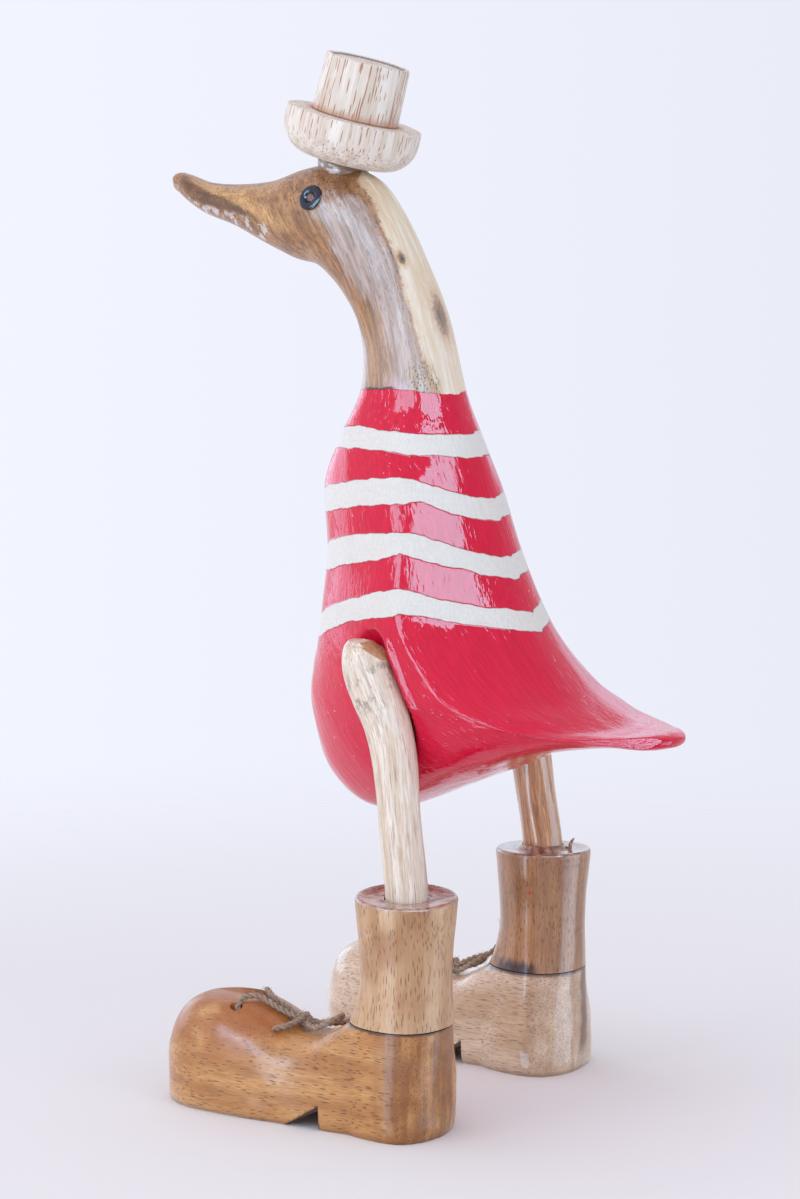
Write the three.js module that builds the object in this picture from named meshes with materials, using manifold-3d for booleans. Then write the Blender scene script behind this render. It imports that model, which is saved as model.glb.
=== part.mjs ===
// A carved wooden duck: painted shirt, turned hat, stick legs and clumsy laced boots.
// Millimetres, +Z up. The duck looks along -Y and its left side is +X.
// The origin is on the floor, under the middle of the whole figure.

import * as THREE from 'three';
import { mergeVertices } from 'three/addons/utils/BufferGeometryUtils.js';
import Module from 'manifold-3d';

const wasm = await Module();
wasm.setup();

// Driving sizes
const gap = 0.3; // clearance left between pieces that touch

const body = { rings: 48, sides: 32 };

// The lines the carver follows from the beak's tip to the tail's tip.
// front: Y, Z of the throat, breast and belly line. side: X, Y, Z of the widest line.
// back: Y, Z of the crown, nape and back line.
// round: 2 is an oval on that side of the widest line, less leaves a ridge there.
const carving = [
  { front: [-142.4, 354.8], side: [3.6, -143.0, 357.4], back: [-141.9, 360.0], round: [2, 2] },
  { front: [-136.4, 349.8], side: [7.2, -135.6, 354.4], back: [-135.2, 359.2], round: [2, 2] },
  { front: [-125.0, 343.0], side: [10.0, -124.1, 348.8], back: [-124.0, 355.9], round: [2, 2] },
  { front: [-110.3, 337.8], side: [11.5, -109.0, 345.5], back: [-107.5, 354.8], round: [2, 2] },
  { front: [-95.9, 330.6], side: [13.0, -93.5, 343.0], back: [-91.8, 355.8], round: [2, 2] },
  { front: [-82.6, 324.9], side: [15.5, -79.5, 341.7], back: [-77.4, 360.0], round: [2, 2] },
  { front: [-70.9, 322.3], side: [17.5, -66.5, 340.5], back: [-62.3, 361.2], round: [2, 2] },
  { front: [-61.8, 315.4], side: [17.0, -54.0, 334.5], back: [-46.1, 355.5], round: [2.3, 2.3] },
  { front: [-54.5, 307.4], side: [16.2, -45.0, 324.0], back: [-34.7, 341.6], round: [2.8, 2.8] },
  { front: [-49.3, 297.8], side: [15.6, -37.5, 310.5], back: [-24.9, 324.0], round: [3, 3] },
  { front: [-47.1, 285.9], side: [15.6, -31.5, 295.0], back: [-15.8, 303.7], round: [3, 3] },
  { front: [-49.2, 273.2], side: [17.2, -28.5, 273.6], back: [-7.4, 274.1], round: [2.8, 2.8] },
  { front: [-58.8, 255.5], side: [23.0, -26.0, 256.3], back: [-0.2, 257.0], round: [2.4, 2] },
  { front: [-65.6, 237.3], side: [30.0, -19.0, 238.0], back: [6.9, 238.6], round: [2, 1.5] },
  { front: [-64.0, 212.7], side: [36.5, -12.0, 213.5], back: [14.8, 214.3], round: [1.7, 1.25] },
  { front: [-66.6, 185.6], side: [42.0, -9.0, 191.0], back: [26.7, 189.2], round: [1.5, 1.2] },
  { front: [-70.4, 166.4], side: [46.0, 2.0, 174.5], back: [37.4, 172.9], round: [1.5, 1.3] },
  { front: [-71.8, 148.5], side: [48.0, 14.0, 162.4], back: [47.5, 161.6], round: [1.5, 1.45] },
  { front: [-62.4, 123.4], side: [47.0, 26.0, 157.0], back: [57.0, 155.2], round: [1.6, 1.6] },
  { front: [-38.5, 111.1], side: [44.5, 36.0, 153.5], back: [64.0, 151.8], round: [1.7, 1.6] },
  { front: [2.1, 124.9], side: [40.0, 46.0, 151.3], back: [71.0, 150.9], round: [1.7, 1.6] },
  { front: [31.0, 138.0], side: [33.5, 59.0, 149.4], back: [77.0, 150.7], round: [1.7, 1.7] },
  { front: [61.0, 143.8], side: [24.5, 72.0, 148.3], back: [82.0, 151.6], round: [1.8, 1.8] },
  { front: [79.5, 144.2], side: [16.5, 81.5, 147.4], back: [85.4, 150.8], round: [2, 2] },
  { front: [86.6, 145.6], side: [6.0, 87.2, 147.3], back: [87.6, 149.2], round: [2, 2] },
];

const hat = {
  foot: [0, -60.2, 362.8],
  tiltBack: 16.5,
  brimRadius: 26.7,
  brimHeight: 17.4,
  crownRadius: 17.1,
  crownTopRadius: 16.5,
  crownHeight: 22.5,
  hollow: 1.2,
  sides: 28,
};

const glue = { radius: 10, depth: 6, sides: 16 };

const eye = { y: -66, z: 348.5, outer: 4.7, inner: 1.8, depth: 0.8, sides: 20 };

// From the boot's socket to the hip: height, share of the bend forward into the hip, radius.
const legLine = [
  [76, 0, 8.1],
  [88, 0, 8.1],
  [112, 0.12, 8.0],
  [138, 0.26, 8.3],
  [152, 0.42, 8.9],
  [162, 0.66, 9.4],
  [172, 0.9, 9.2],
  [179, 1, 7.8],
  [182, 1, 4.8],
];
const leg = { rings: 15, sides: 12, sawSlope: 32, sawBehind: 2.5, sawHeight: 181.5 };

const boot = {
  shaftTop: 89.3,
  joint: 41,
  leanTo: 33, // degrees from +X, the way the shaft's top leans
  sides: 22,
  toe: { start: 74, end: 105, half: 23.5, height: 43.5, wall: 20 },
  notch: { back: -27, height: 9.5, length: 16.5 },
};

// foot: X, Y of the ankle's axis. hip: X, Y of the leg's upper end.
// thick: the stick's share of the usual radius. reach: from the ankle's axis to the toe.
// heel: how much the heel swells. lean: the shaft top's lean in degrees.
// routes: where this boot's twine differs.
const stance = {
  left: { sign: 1, foot: [51, 1.5], hip: [44, -22.5], thick: 1.04, reach: 105, heel: 1, lean: 3.5, routes: {} },
  right: {
    sign: -1,
    foot: [-57, -2.6],
    hip: [-47, -26.4],
    thick: 1.04,
    reach: 99.5,
    heel: 1.12,
    lean: -1.7,
    routes: {
      innerEnd: [
        [0, -47, 3.1], [-2.5, -41, 4.5], [-2, -34, 5.5],
        [1, -27, 4.5], [4, -22.6, 8], [3.6, -22.4, 15],
      ],
    },
  },
};

const lace = { radius: 1.25, sides: 6, steps: 7, knot: [3.6, 3.2, 2.6], hole: 0.35 };

// Routes of one boot's twine, outer side +X, from the holes in the instep to the knot and bow.
// X, Y and the height over the boot.
const laceRoutes = {
  outerStrand: [
    [11.5, -70, -9], [11, -70, -1.5], [7, -69.5, 1.8],
    [3, -65, 1.8], [2.2, -57, 1.8], [1.2, -49, 2.6],
  ],
  innerStrand: [
    [-11.5, -70, -9], [-11, -70, -1.5], [-7, -69, 1.8],
    [-2.4, -63, 1.8], [-2, -56, 1.8], [-1, -49, 2.6],
  ],
  loop: [
    [0.5, -46, 3], [-4, -39.5, 2.4], [-4.4, -33, 3.4], [0, -29.5, 4],
    [4.6, -33, 3.4], [4.2, -39, 2.4], [0, -46, 3],
  ],
  outerEnd: [[0, -47, 3.1], [5, -47.5, 2.5], [9.5, -49.5, 1.9], [13, -52, 1.9]],
  innerEnd: [[0, -47, 3.1], [-5, -43.5, 2.2], [-9, -37.5, 2.0], [-11.5, -31, 2.2]],
};

// Materials
const finish = (color, roughness) => new THREE.MeshStandardMaterial({ color, roughness, metalness: 0 });

const paintedShirt = finish(0xcf2440, 0.18);
const turnedWood = finish(0xdccab4, 0.45);
const hotGlue = finish(0xbdb3a2, 0.3);
const stickWood = finish(0xd9c7a4, 0.5);
const shaftWood = finish(0xc09a74, 0.3);
const bootWood = finish(0xb8824f, 0.25);
const twine = finish(0x7a6450, 0.9);

// Helpers

// The curve through a row of number lists, at t counted in list steps.
function through(rows, t) {
  const last = rows.length - 1;
  const i = Math.min(Math.floor(t), last - 1);
  const f = t - i;
  const before = rows[Math.max(i - 1, 0)];
  const after = rows[Math.min(i + 2, last)];
  return rows[i].map((p, k) => {
    const q = rows[i + 1][k];
    const bend = 2 * before[k] - 5 * p + 4 * q - after[k];
    const twist = -before[k] + 3 * p - 3 * q + after[k];
    return 0.5 * (2 * p + (q - before[k]) * f + bend * f * f + twist * f * f * f);
  });
}

// A closed skin over a row of rings, with one middle point on each end ring.
function loft(rings) {
  const sides = rings[0].length;
  const points = rings.flat();
  const faces = [];
  for (let i = 0; i < rings.length - 1; i += 1) {
    for (let j = 0; j < sides; j += 1) {
      const k = (j + 1) % sides;
      const a = i * sides + j;
      const b = i * sides + k;
      faces.push(a, b, b + sides, a, b + sides, a + sides);
    }
  }
  const middle = (ring) => ring.reduce((sum, p) => sum.add(p), new THREE.Vector3()).divideScalar(sides);
  const start = points.push(middle(rings[0])) - 1;
  const end = points.push(middle(rings[rings.length - 1])) - 1;
  const lastRing = (rings.length - 1) * sides;
  for (let j = 0; j < sides; j += 1) {
    const k = (j + 1) % sides;
    faces.push(start, k, j, end, lastRing + j, lastRing + k);
  }
  const geometry = new THREE.BufferGeometry().setFromPoints(points);
  geometry.setIndex(faces);
  return outward(geometry);
}

// Turns every face over if the skin is inside out.
function outward(geometry) {
  const p = geometry.getAttribute('position');
  const index = geometry.getIndex().array;
  const corner = (i) => new THREE.Vector3().fromBufferAttribute(p, index[i]);
  let volume = 0;
  for (let i = 0; i < index.length; i += 3) {
    volume += corner(i).dot(corner(i + 1).cross(corner(i + 2)));
  }
  if (volume < 0) {
    for (let i = 0; i < index.length; i += 3) {
      [index[i], index[i + 1]] = [index[i + 1], index[i]];
    }
  }
  return geometry;
}

function toSolid(geometry) {
  const plain = geometry.clone();
  plain.deleteAttribute('normal');
  plain.deleteAttribute('uv');
  const merged = mergeVertices(plain, 1e-4);
  return new wasm.Manifold(new wasm.Mesh({
    numProp: 3,
    vertProperties: new Float32Array(merged.getAttribute('position').array),
    triVerts: new Uint32Array(merged.getIndex().array),
  }));
}

function toGeometry(solid) {
  const mesh = solid.getMesh();
  const geometry = new THREE.BufferGeometry();
  geometry.setAttribute('position', new THREE.BufferAttribute(mesh.vertProperties, 3));
  geometry.setIndex(new THREE.BufferAttribute(mesh.triVerts, 1));
  return geometry;
}

function piece(name, geometry, material) {
  const flat = geometry.toNonIndexed();
  flat.computeVertexNormals();
  const mesh = new THREE.Mesh(flat, material);
  mesh.name = name;
  return mesh;
}

// A horizontal outline with its own reach to each side, to the front and to the back.
function outline(sides, { half, front, back, square = 2 }, height) {
  const bulge = (c) => Math.sign(c) * Math.abs(c) ** (2 / square);
  return Array.from({ length: sides }, (_, i) => {
    const a = (2 * Math.PI * i) / sides;
    const x = half * bulge(Math.cos(a));
    const y = (Math.sin(a) > 0 ? back : front) * bulge(Math.sin(a));
    return new THREE.Vector3(x, y, height(x, y));
  });
}

// Duck body

// One ring across the carving; grow moves it outward.
function bodyRing(row, grow) {
  const [fy, fz, sx, sy, sz, by, bz, frontRound, backRound] = row;
  const half = body.sides / 2;
  const arc = [];
  for (let i = 0; i <= half; i += 1) {
    const a = (Math.PI * i) / half;
    const t = Math.abs(Math.cos(a));
    const inFront = i <= half / 2;
    const [ey, ez] = inFront ? [fy, fz] : [by, bz];
    const x = sx * Math.sqrt(Math.max(0, 1 - t ** (inFront ? frontRound : backRound)));
    arc.push(new THREE.Vector3(x, sy + (ey - sy) * t, sz + (ez - sz) * t));
  }
  const other = arc.slice(1, -1).reverse().map((p) => new THREE.Vector3(-p.x, p.y, p.z));
  const centre = new THREE.Vector3(0, sy, sz);
  return [...arc, ...other].map((p) => {
    const away = p.clone().sub(centre);
    return p.add(away.setLength(grow));
  });
}

function bodySkin(grow) {
  const rows = carving.map((s) => [...s.front, ...s.side, ...s.back, ...s.round]);
  const steps = body.rings - 1;
  const rings = Array.from({ length: body.rings }, (_, i) => {
    return bodyRing(through(rows, (i / steps) * (rows.length - 1)), grow);
  });
  return loft(rings);
}

// Half the body's width at a height and a place along it.
function bodySide(skin, y, z) {
  const ray = new THREE.Raycaster(new THREE.Vector3(100, y, z), new THREE.Vector3(-1, 0, 0));
  const probe = new THREE.Mesh(skin, new THREE.MeshBasicMaterial());
  return ray.intersectObject(probe)[0].point.x;
}

// The drilled ring round each eye.
function eyeCutter(x) {
  const profile = [
    [eye.inner, -eye.depth],
    [eye.outer, -eye.depth],
    [eye.outer, 3],
    [eye.inner, 3],
    [eye.inner, -eye.depth],
  ].map(([r, h]) => new THREE.Vector2(r, h));
  const ring = new THREE.LatheGeometry(profile, eye.sides);
  ring.rotateZ(-Math.PI / 2 * Math.sign(x));
  ring.translate(x, eye.y, eye.z);
  return toSolid(ring);
}

function duckBody() {
  const skin = bodySkin(0);
  let solid = toSolid(skin);
  const x = bodySide(skin, eye.y, eye.z);
  for (const side of [1, -1]) {
    solid = solid.subtract(eyeCutter(x * side));
  }
  for (const side of Object.values(stance)) {
    solid = solid.subtract(toSolid(legSkin(side, 3 * gap)));
  }
  return piece('duck_body', toGeometry(solid), paintedShirt);
}

// Legs

// A leg from its socket up into the hip, upright below and bending forward above.
function legSkin(side, grow) {
  const [footX, footY] = side.foot;
  const [hipX, hipY] = side.hip;
  const last = leg.rings - 1;
  const middle = (t) => {
    const [z, share] = through(legLine, Math.min(Math.max(t, 0), legLine.length - 1));
    return new THREE.Vector3(footX + (hipX - footX) * share, footY + (hipY - footY) * share, z);
  };
  const rings = Array.from({ length: leg.rings }, (_, i) => {
    const t = (i / last) * (legLine.length - 1);
    const radius = through(legLine, t)[2] * side.thick + grow;
    const along = middle(t + 0.05).sub(middle(t - 0.05)).normalize();
    const across = new THREE.Vector3(0, 1, 0).cross(along).normalize();
    const behind = along.clone().cross(across);
    const centre = middle(t).addScaledVector(along, i === 0 ? -grow : i === last ? grow : 0);
    return Array.from({ length: leg.sides }, (__, j) => {
      const a = (2 * Math.PI * j) / leg.sides;
      return centre.clone()
        .addScaledVector(across, radius * Math.cos(a))
        .addScaledVector(behind, radius * Math.sin(a));
    });
  });
  return loft(rings);
}

// The leg with its top sawn off aslant towards the back.
function legPiece(name, side) {
  const saw = new THREE.BoxGeometry(40, 60, 20)
    .translate(0, 0, 10)
    .rotateX(-THREE.MathUtils.degToRad(leg.sawSlope))
    .translate(side.hip[0], side.hip[1] + leg.sawBehind, leg.sawHeight);
  return piece(`leg_${name}`, toGeometry(toSolid(legSkin(side, 0)).subtract(toSolid(saw))), stickWood);
}

// Hat

function turnedHat() {
  const { brimRadius, brimHeight, crownRadius, crownTopRadius, crownHeight, hollow } = hat;
  const top = brimHeight + crownHeight;
  const bowl = [0.15, 0.4, 0.65, 0.9].map((t) => {
    const a = (Math.PI / 2) * t;
    return [brimRadius - 12 + 12 * Math.sin(a), 12 - 12 * Math.cos(a)];
  });
  const profile = [
    [0, 0],
    [brimRadius - 12, 0],
    ...bowl,
    [brimRadius, 12],
    [brimRadius, brimHeight - 0.8],
    [brimRadius - 0.8, brimHeight],
    [crownRadius + 1.2, brimHeight],
    [crownRadius, brimHeight - 0.8],
    [crownTopRadius, top - 1],
    [crownTopRadius - 1, top],
    [crownTopRadius - 4, top - hollow],
    [0, top - hollow],
  ].map(([r, h]) => new THREE.Vector2(r, h));
  return new THREE.LatheGeometry(profile, hat.sides).rotateX(Math.PI / 2);
}

function glueBead() {
  const profile = [
    [0, -glue.depth],
    [glue.radius * 0.8, -glue.depth],
    [glue.radius, -glue.depth * 0.45],
    [glue.radius * 0.86, -gap],
    [0, -gap],
  ].map(([r, h]) => new THREE.Vector2(r, h));
  return new THREE.LatheGeometry(profile, glue.sides).rotateX(Math.PI / 2);
}

function hatParts() {
  const place = new THREE.Matrix4()
    .makeRotationX(-THREE.MathUtils.degToRad(hat.tiltBack))
    .setPosition(...hat.foot);
  const bead = toSolid(glueBead().applyMatrix4(place)).subtract(toSolid(bodySkin(gap)));
  return [
    piece('hat', toGeometry(toSolid(turnedHat().applyMatrix4(place))), turnedWood),
    piece('hat_glue', toGeometry(bead), hotGlue),
  ];
}

// Boots, each modelled round its ankle's axis with the toe along -Y

// Reach of the heel and shaft at a height.
const ankle = [
  [0, { half: 18.6, front: 26, back: 14.8, square: 2.4 }],
  [2.2, { half: 20.4, front: 28, back: 16.5, square: 2.4 }],
  [14, { half: 20.6, front: 28, back: 16.8, square: 2.4 }],
  [28, { half: 19.6, front: 26, back: 16.8, square: 2.3 }],
  [41, { half: 18.2, front: 22, back: 16.8, square: 2.2 }],
  [47.5, { half: 17.6, front: 19.4, back: 17, square: 2.1 }],
  [57.5, { half: 17.2, front: 17.6, back: 17.1, square: 2 }],
  [71, { half: 17.6, front: 17.9, back: 17.5, square: 2 }],
  [83, { half: 18.8, front: 18.9, back: 18.8, square: 2 }],
  [89.3, { half: 19.2, front: 19.3, back: 19.2, square: 2 }],
];

function ankleSkin(low, high, side) {
  const slope = Math.tan(THREE.MathUtils.degToRad(side.lean));
  const way = THREE.MathUtils.degToRad(boot.leanTo);
  const rings = ankle
    .filter(([z]) => z >= low && z <= high)
    .map(([z, { half, front, back, square }]) => {
      const topShare = Math.max(0, (z - 71) / (boot.shaftTop - 71));
      const swell = 1 + (side.heel - 1) * Math.max(0, 1 - z / boot.joint);
      const reach = { half: half * swell, front, back: back * swell, square };
      const drop = slope * topShare;
      return outline(boot.sides, reach, (x, y) => z - drop * (x * Math.cos(way) + y * Math.sin(way)));
    });
  return loft(rings);
}

// Sections of the instep: distance ahead of the ankle's axis, half width, height, squareness.
const instep = [
  [4, 17.5, 40.2, 5],
  [14, 19.2, 40.3, 5],
  [24, 19.8, 38.4, 3.6],
  [34, 20.1, 33.6, 2.8],
  [44, 21.1, 32.4, 2.5],
  [56, 22.6, 37.4, 2.4],
  [66, 23.3, 41.5, 2.3],
];

// Sections of the round toe, the same values as the instep's.
function toeSections() {
  const { start, end, half, height, wall } = boot.toe;
  return [0, 0.25, 0.5, 0.7, 0.85, 0.94, 0.985].map((t) => {
    const plan = (1 - t ** 2.6) ** (1 / 2.6);
    return [start + (end - start) * t, half * plan, wall + (height - wall) * plan, 2.3];
  });
}

function toeSkin(reach) {
  const { end } = boot.toe;
  const stretch = (ahead) => (ahead < 30 ? ahead : 30 + ((ahead - 30) * (reach - 30)) / (end - 30));
  const rings = [...instep, ...toeSections()].map(([ahead, half, height, square]) => {
    const middle = Math.min(height * 0.36, 15);
    return Array.from({ length: boot.sides }, (_, j) => {
      const a = (2 * Math.PI * j) / boot.sides;
      const up = Math.sin(a);
      const power = 2 / (up > 0 ? square : 5);
      const wide = Math.abs(Math.cos(a)) ** (up > 0 ? 2 / (square + 0.2) : 2 / 7);
      const x = half * Math.sign(Math.cos(a)) * wide;
      const z = middle + (up > 0 ? (height - middle) * up ** power : -middle * (-up) ** power);
      return new THREE.Vector3(x, -stretch(ahead), z);
    });
  });
  return loft(rings);
}

// A wedge across the sole, between the heel and the front.
function archCutter() {
  const { back, height, length } = boot.notch;
  const shape = new THREE.Shape([
    new THREE.Vector2(back, -1),
    new THREE.Vector2(back, height),
    new THREE.Vector2(back - length, -1),
  ]);
  const wedge = new THREE.ExtrudeGeometry(shape, { depth: 60, bevelEnabled: false });
  return toSolid(wedge.rotateX(Math.PI / 2).rotateZ(Math.PI / 2).translate(-30, 0, 0));
}

// A round cord along a few points.
function cordSolid(points, radius) {
  const path = new THREE.CatmullRomCurve3(points.map((p) => new THREE.Vector3(...p)));
  const section = new THREE.Shape(Array.from({ length: lace.sides }, (_, i) => {
    const a = (2 * Math.PI * i) / lace.sides;
    return new THREE.Vector2(radius * Math.cos(a), radius * Math.sin(a));
  }));
  const cord = new THREE.ExtrudeGeometry(section, { steps: lace.steps, extrudePath: path, curveSegments: 1 });
  return toSolid(outward(mergeVertices(cord.deleteAttribute('normal').deleteAttribute('uv'), 1e-4)));
}

// The routes laid over one boot, whose top is found by looking down on it.
function layLaces(top, side) {
  const probe = new THREE.Mesh(top, new THREE.MeshBasicMaterial());
  const under = (x, y) => {
    const ray = new THREE.Raycaster(new THREE.Vector3(x, y, 90), new THREE.Vector3(0, 0, -1));
    return ray.intersectObject(probe)[0].point.z;
  };
  return Object.fromEntries(Object.entries({ ...laceRoutes, ...side.routes }).map(([name, route]) => {
    const laid = route.map(([outward, ahead, over]) => {
      const x = outward * side.sign;
      const y = ahead * (side.reach / boot.toe.end);
      return [x, y, under(x, y) + over];
    });
    return [name, laid];
  }));
}

function tiedLace(routes) {
  const knot = new THREE.SphereGeometry(1, 8, 6)
    .scale(...lace.knot)
    .translate(...routes.outerEnd[0]);
  return Object.values(routes)
    .map((route) => cordSolid(route, lace.radius))
    .reduce((sum, cord) => sum.add(cord), toSolid(knot));
}

function bootParts(name, side) {
  const group = new THREE.Group();
  group.position.set(side.foot[0], side.foot[1], 0);
  const lean = [side.hip[0] - side.foot[0], side.hip[1] - side.foot[1]];
  const socket = toSolid(legSkin({ ...side, foot: [0, 0], hip: lean }, gap));
  const shaft = toSolid(ankleSkin(boot.joint, boot.shaftTop, side)).translate([0, 0, gap]);
  let foot = toSolid(ankleSkin(0, boot.joint, side))
    .add(toSolid(toeSkin(side.reach)))
    .subtract(archCutter());
  const routes = layLaces(toGeometry(foot), side);
  for (const strand of [routes.outerStrand, routes.innerStrand]) {
    foot = foot.subtract(cordSolid(strand, lace.radius + lace.hole));
  }
  group.add(piece(`boot_shaft_${name}`, toGeometry(shaft.subtract(socket)), shaftWood));
  group.add(piece(`boot_foot_${name}`, toGeometry(foot), bootWood));
  group.add(piece(`lace_${name}`, toGeometry(tiedLace(routes)), twine));
  return group;
}

// The whole figure, stood over the origin
const figure = new THREE.Group();
figure.add(duckBody(), ...hatParts());
for (const [name, side] of Object.entries(stance)) {
  figure.add(legPiece(name, side), bootParts(name, side));
}
figure.updateMatrixWorld(true);
const box = new THREE.Box3().setFromObject(figure, true);
figure.position.set(-(box.min.x + box.max.x) / 2, -(box.min.y + box.max.y) / 2, -box.min.z);

export default figure;
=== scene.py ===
import math

import bmesh
import bpy
import numpy as np
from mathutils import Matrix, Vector, noise
from mathutils.bvhtree import BVHTree


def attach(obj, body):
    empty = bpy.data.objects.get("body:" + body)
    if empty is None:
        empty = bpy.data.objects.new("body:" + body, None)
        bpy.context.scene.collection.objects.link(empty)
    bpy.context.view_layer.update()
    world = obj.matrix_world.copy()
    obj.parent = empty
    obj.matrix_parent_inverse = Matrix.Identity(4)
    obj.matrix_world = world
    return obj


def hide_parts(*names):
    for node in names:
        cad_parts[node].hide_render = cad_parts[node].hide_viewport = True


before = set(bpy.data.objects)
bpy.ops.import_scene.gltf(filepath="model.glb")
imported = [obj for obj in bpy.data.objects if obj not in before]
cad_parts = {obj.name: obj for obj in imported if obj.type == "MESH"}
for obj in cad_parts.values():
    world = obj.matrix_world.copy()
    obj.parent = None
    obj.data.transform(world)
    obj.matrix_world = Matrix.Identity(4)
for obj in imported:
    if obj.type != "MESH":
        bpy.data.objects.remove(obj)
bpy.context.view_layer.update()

figureShift = np.array([3.0, 27.7, 0.0])  # mm, from the carving's own middle to the whole figure's
print("frame loaded")


# Shader sockets that add, subtract and multiply like numbers
def socketMath(operation, swapped=False):
    return lambda shade, other: shade.work(operation, other, swapped)


class Shade:
    __add__ = socketMath("ADD")
    __radd__ = socketMath("ADD", True)
    __sub__ = socketMath("SUBTRACT")
    __rsub__ = socketMath("SUBTRACT", True)
    __mul__ = socketMath("MULTIPLY")
    __rmul__ = socketMath("MULTIPLY", True)
    least = socketMath("MINIMUM")

    def __init__(self, pot, socket):
        self.pot = pot
        self.socket = socket

    def work(self, operation, other, swapped):
        first, second = (other, self) if swapped else (self, other)
        return self.pot.node("ShaderNodeMath", {"operation": operation}, {0: first, 1: second})

    def rise(self, low, high):  # 0 at low, 1 at high, smooth between
        ends = {1: low, 2: high, 3: 0.0, 4: 1.0} if low < high else {1: high, 2: low, 3: 1.0, 4: 0.0}
        return self.pot.node("ShaderNodeMapRange", {"interpolation_type": "SMOOTHSTEP"}, {0: self, **ends})


# One material, or the world, and its nodes
class Pot:
    def __init__(self, name, owner=None):
        self.owner = owner or bpy.data.materials.new(name)
        self.owner.use_nodes = True
        self.tree = self.owner.node_tree
        self.tree.nodes.clear()

    def node(self, kind, settings=None, sockets=None, out=0):
        made = self.tree.nodes.new(kind)
        for key, value in (settings or {}).items():
            setattr(made, key, value)
        for key, value in (sockets or {}).items():
            if isinstance(value, Shade):
                self.tree.links.new(value.socket, made.inputs[key])
            else:
                made.inputs[key].default_value = value
        return Shade(self, made.outputs[out]) if len(made.outputs) else None

    def mark(self, name, out="Fac"):  # a value that the mesh carries
        return self.node("ShaderNodeAttribute", {"attribute_name": name}, None, out)

    def part(self, where, axis):  # one of the three numbers of a place
        return self.node("ShaderNodeSeparateXYZ", None, {0: where}, axis)

    def vector(self, operation, *values):  # a length and a dot product give a number
        out = "Value" if operation in ("LENGTH", "DOT_PRODUCT") else "Vector"
        return self.node("ShaderNodeVectorMath", {"operation": operation}, dict(enumerate(values)), out)

    def cloud(self, where, size=1.0, detail=3.0, rough=0.5, out=0):
        sockets = {"Vector": where, "Scale": 1.0 / size, "Detail": detail, "Roughness": rough}
        return self.node("ShaderNodeTexNoise", None, sockets, out)

    def drawn(self, where, stretch, detail=3.0, rough=0.5, size=1.0):  # a cloud drawn out along the wood
        return self.cloud(self.vector("MULTIPLY", where, stretch), size, detail, rough)

    def wavy(self, where, size, bend=1.0):  # places shifted a little, so that the fibres wander
        drift = self.vector("MULTIPLY", self.cloud(where, size, 2, out=1), (bend, bend, bend))
        return self.vector("ADD", where, drift)

    def colour(self, value):
        return value if isinstance(value, Shade) else (*value, 1.0)

    def mix(self, share, first, second):  # colours
        sockets = {0: share, 6: self.colour(first), 7: self.colour(second)}
        return self.node("ShaderNodeMix", {"data_type": "RGBA"}, sockets, 2)

    def layers(self, base, look, rows):  # colours of a look laid over each other, each with its share
        for share, name in rows:
            base = self.mix(share, base, look[name])
        return base

    def dashes(self, grain, look):  # open pores, long with the grain and round across it
        wide, share = look["wide"], look["share"]
        stretch = (1 / look["apart"], 1 / look["apart"], 1 / look["length"])
        cells = self.vector("MULTIPLY", self.wavy(grain, 9.0, look.get("bend", 1.0)), stretch)
        kind = {"voronoi_dimensions": "2D" if look.get("endless") else "3D"}
        near, cell = (self.node("ShaderNodeTexVoronoi", kind, {"Vector": cells, "Scale": 1.0}, out)
                      for out in ("Distance", "Color"))
        chance = self.node("ShaderNodeSeparateColor", None, {0: cell})
        return near.rise(wide, wide * 0.6) * chance.rise(1 - share, 1.05 - share)

    def finish(self, colour, rough, height=None, sockets=None):  # height in mm
        skin = {"Base Color": self.colour(colour), "Roughness": rough, **(sockets or {})}
        if height is not None:
            relief = {"Strength": 1.0, "Distance": 0.001, "Height": height}
            skin["Normal"] = self.node("ShaderNodeBump", None, relief)
        shader = self.node("ShaderNodeBsdfPrincipled", None, skin)
        self.node("ShaderNodeOutputMaterial", None, {"Surface": shader})
        return self.owner


def rgb(red, green, blue):  # a colour as it looks on a screen, 0 to 255
    return tuple(v / 3294.6 if v < 10.3 else ((v / 255 + 0.055) / 1.055) ** 2.4 for v in (red, green, blue))


# Points and meshes
def metres(points):
    return (np.asarray(points, float) + figureShift) * 0.001


def pointsOf(mesh):  # in mm, from the carving's own middle
    return np.array([v.co for v in mesh.vertices]) * 1000 - figureShift


def setPoints(mesh, points):
    mesh.vertices.foreach_set("co", metres(points).ravel())


def unit(v):
    return v / np.linalg.norm(v, axis=-1, keepdims=True)


def circle(count):  # angles evenly round
    return np.linspace(0, 2 * np.pi, count, endpoint=False)


def hoop(u, w, count):  # a ring of radius 1 in the plane of two directions
    angle = circle(count)
    return np.outer(np.cos(angle), u) + np.outer(np.sin(angle), w)


def runLength(points):  # the length of a line up to each of its points
    return np.append(0, np.cumsum(np.linalg.norm(np.diff(points, axis=0), axis=1)))


def through(rows, t):  # the curve through rows of numbers, t counted in rows
    rows = np.asarray(rows, float)
    last = len(rows) - 1
    t = np.clip(np.atleast_1d(t), 0, last)
    i = np.minimum(np.floor(t).astype(int), last - 1)
    f = (t - i)[:, None]
    before, p, q, after = rows[np.maximum(i - 1, 0)], rows[i], rows[i + 1], rows[np.minimum(i + 2, last)]
    bend = 2 * before - 5 * p + 4 * q - after
    twist = -before + 3 * p - 3 * q + after
    return 0.5 * (2 * p + (q - before) * f + bend * f * f + twist * f ** 3)


def smooth(low, high, v):
    s = np.clip((np.asarray(v, float) - low) / (high - low), 0, 1)
    return s * s * (3 - 2 * s)


def grain3(points, size, seed=0.0):  # smooth noise at each point, about -1 to 1
    spots = np.asarray(points, float) / size + seed
    return np.array([noise.noise(Vector(p)) for p in spots]) * 1.6


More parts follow.
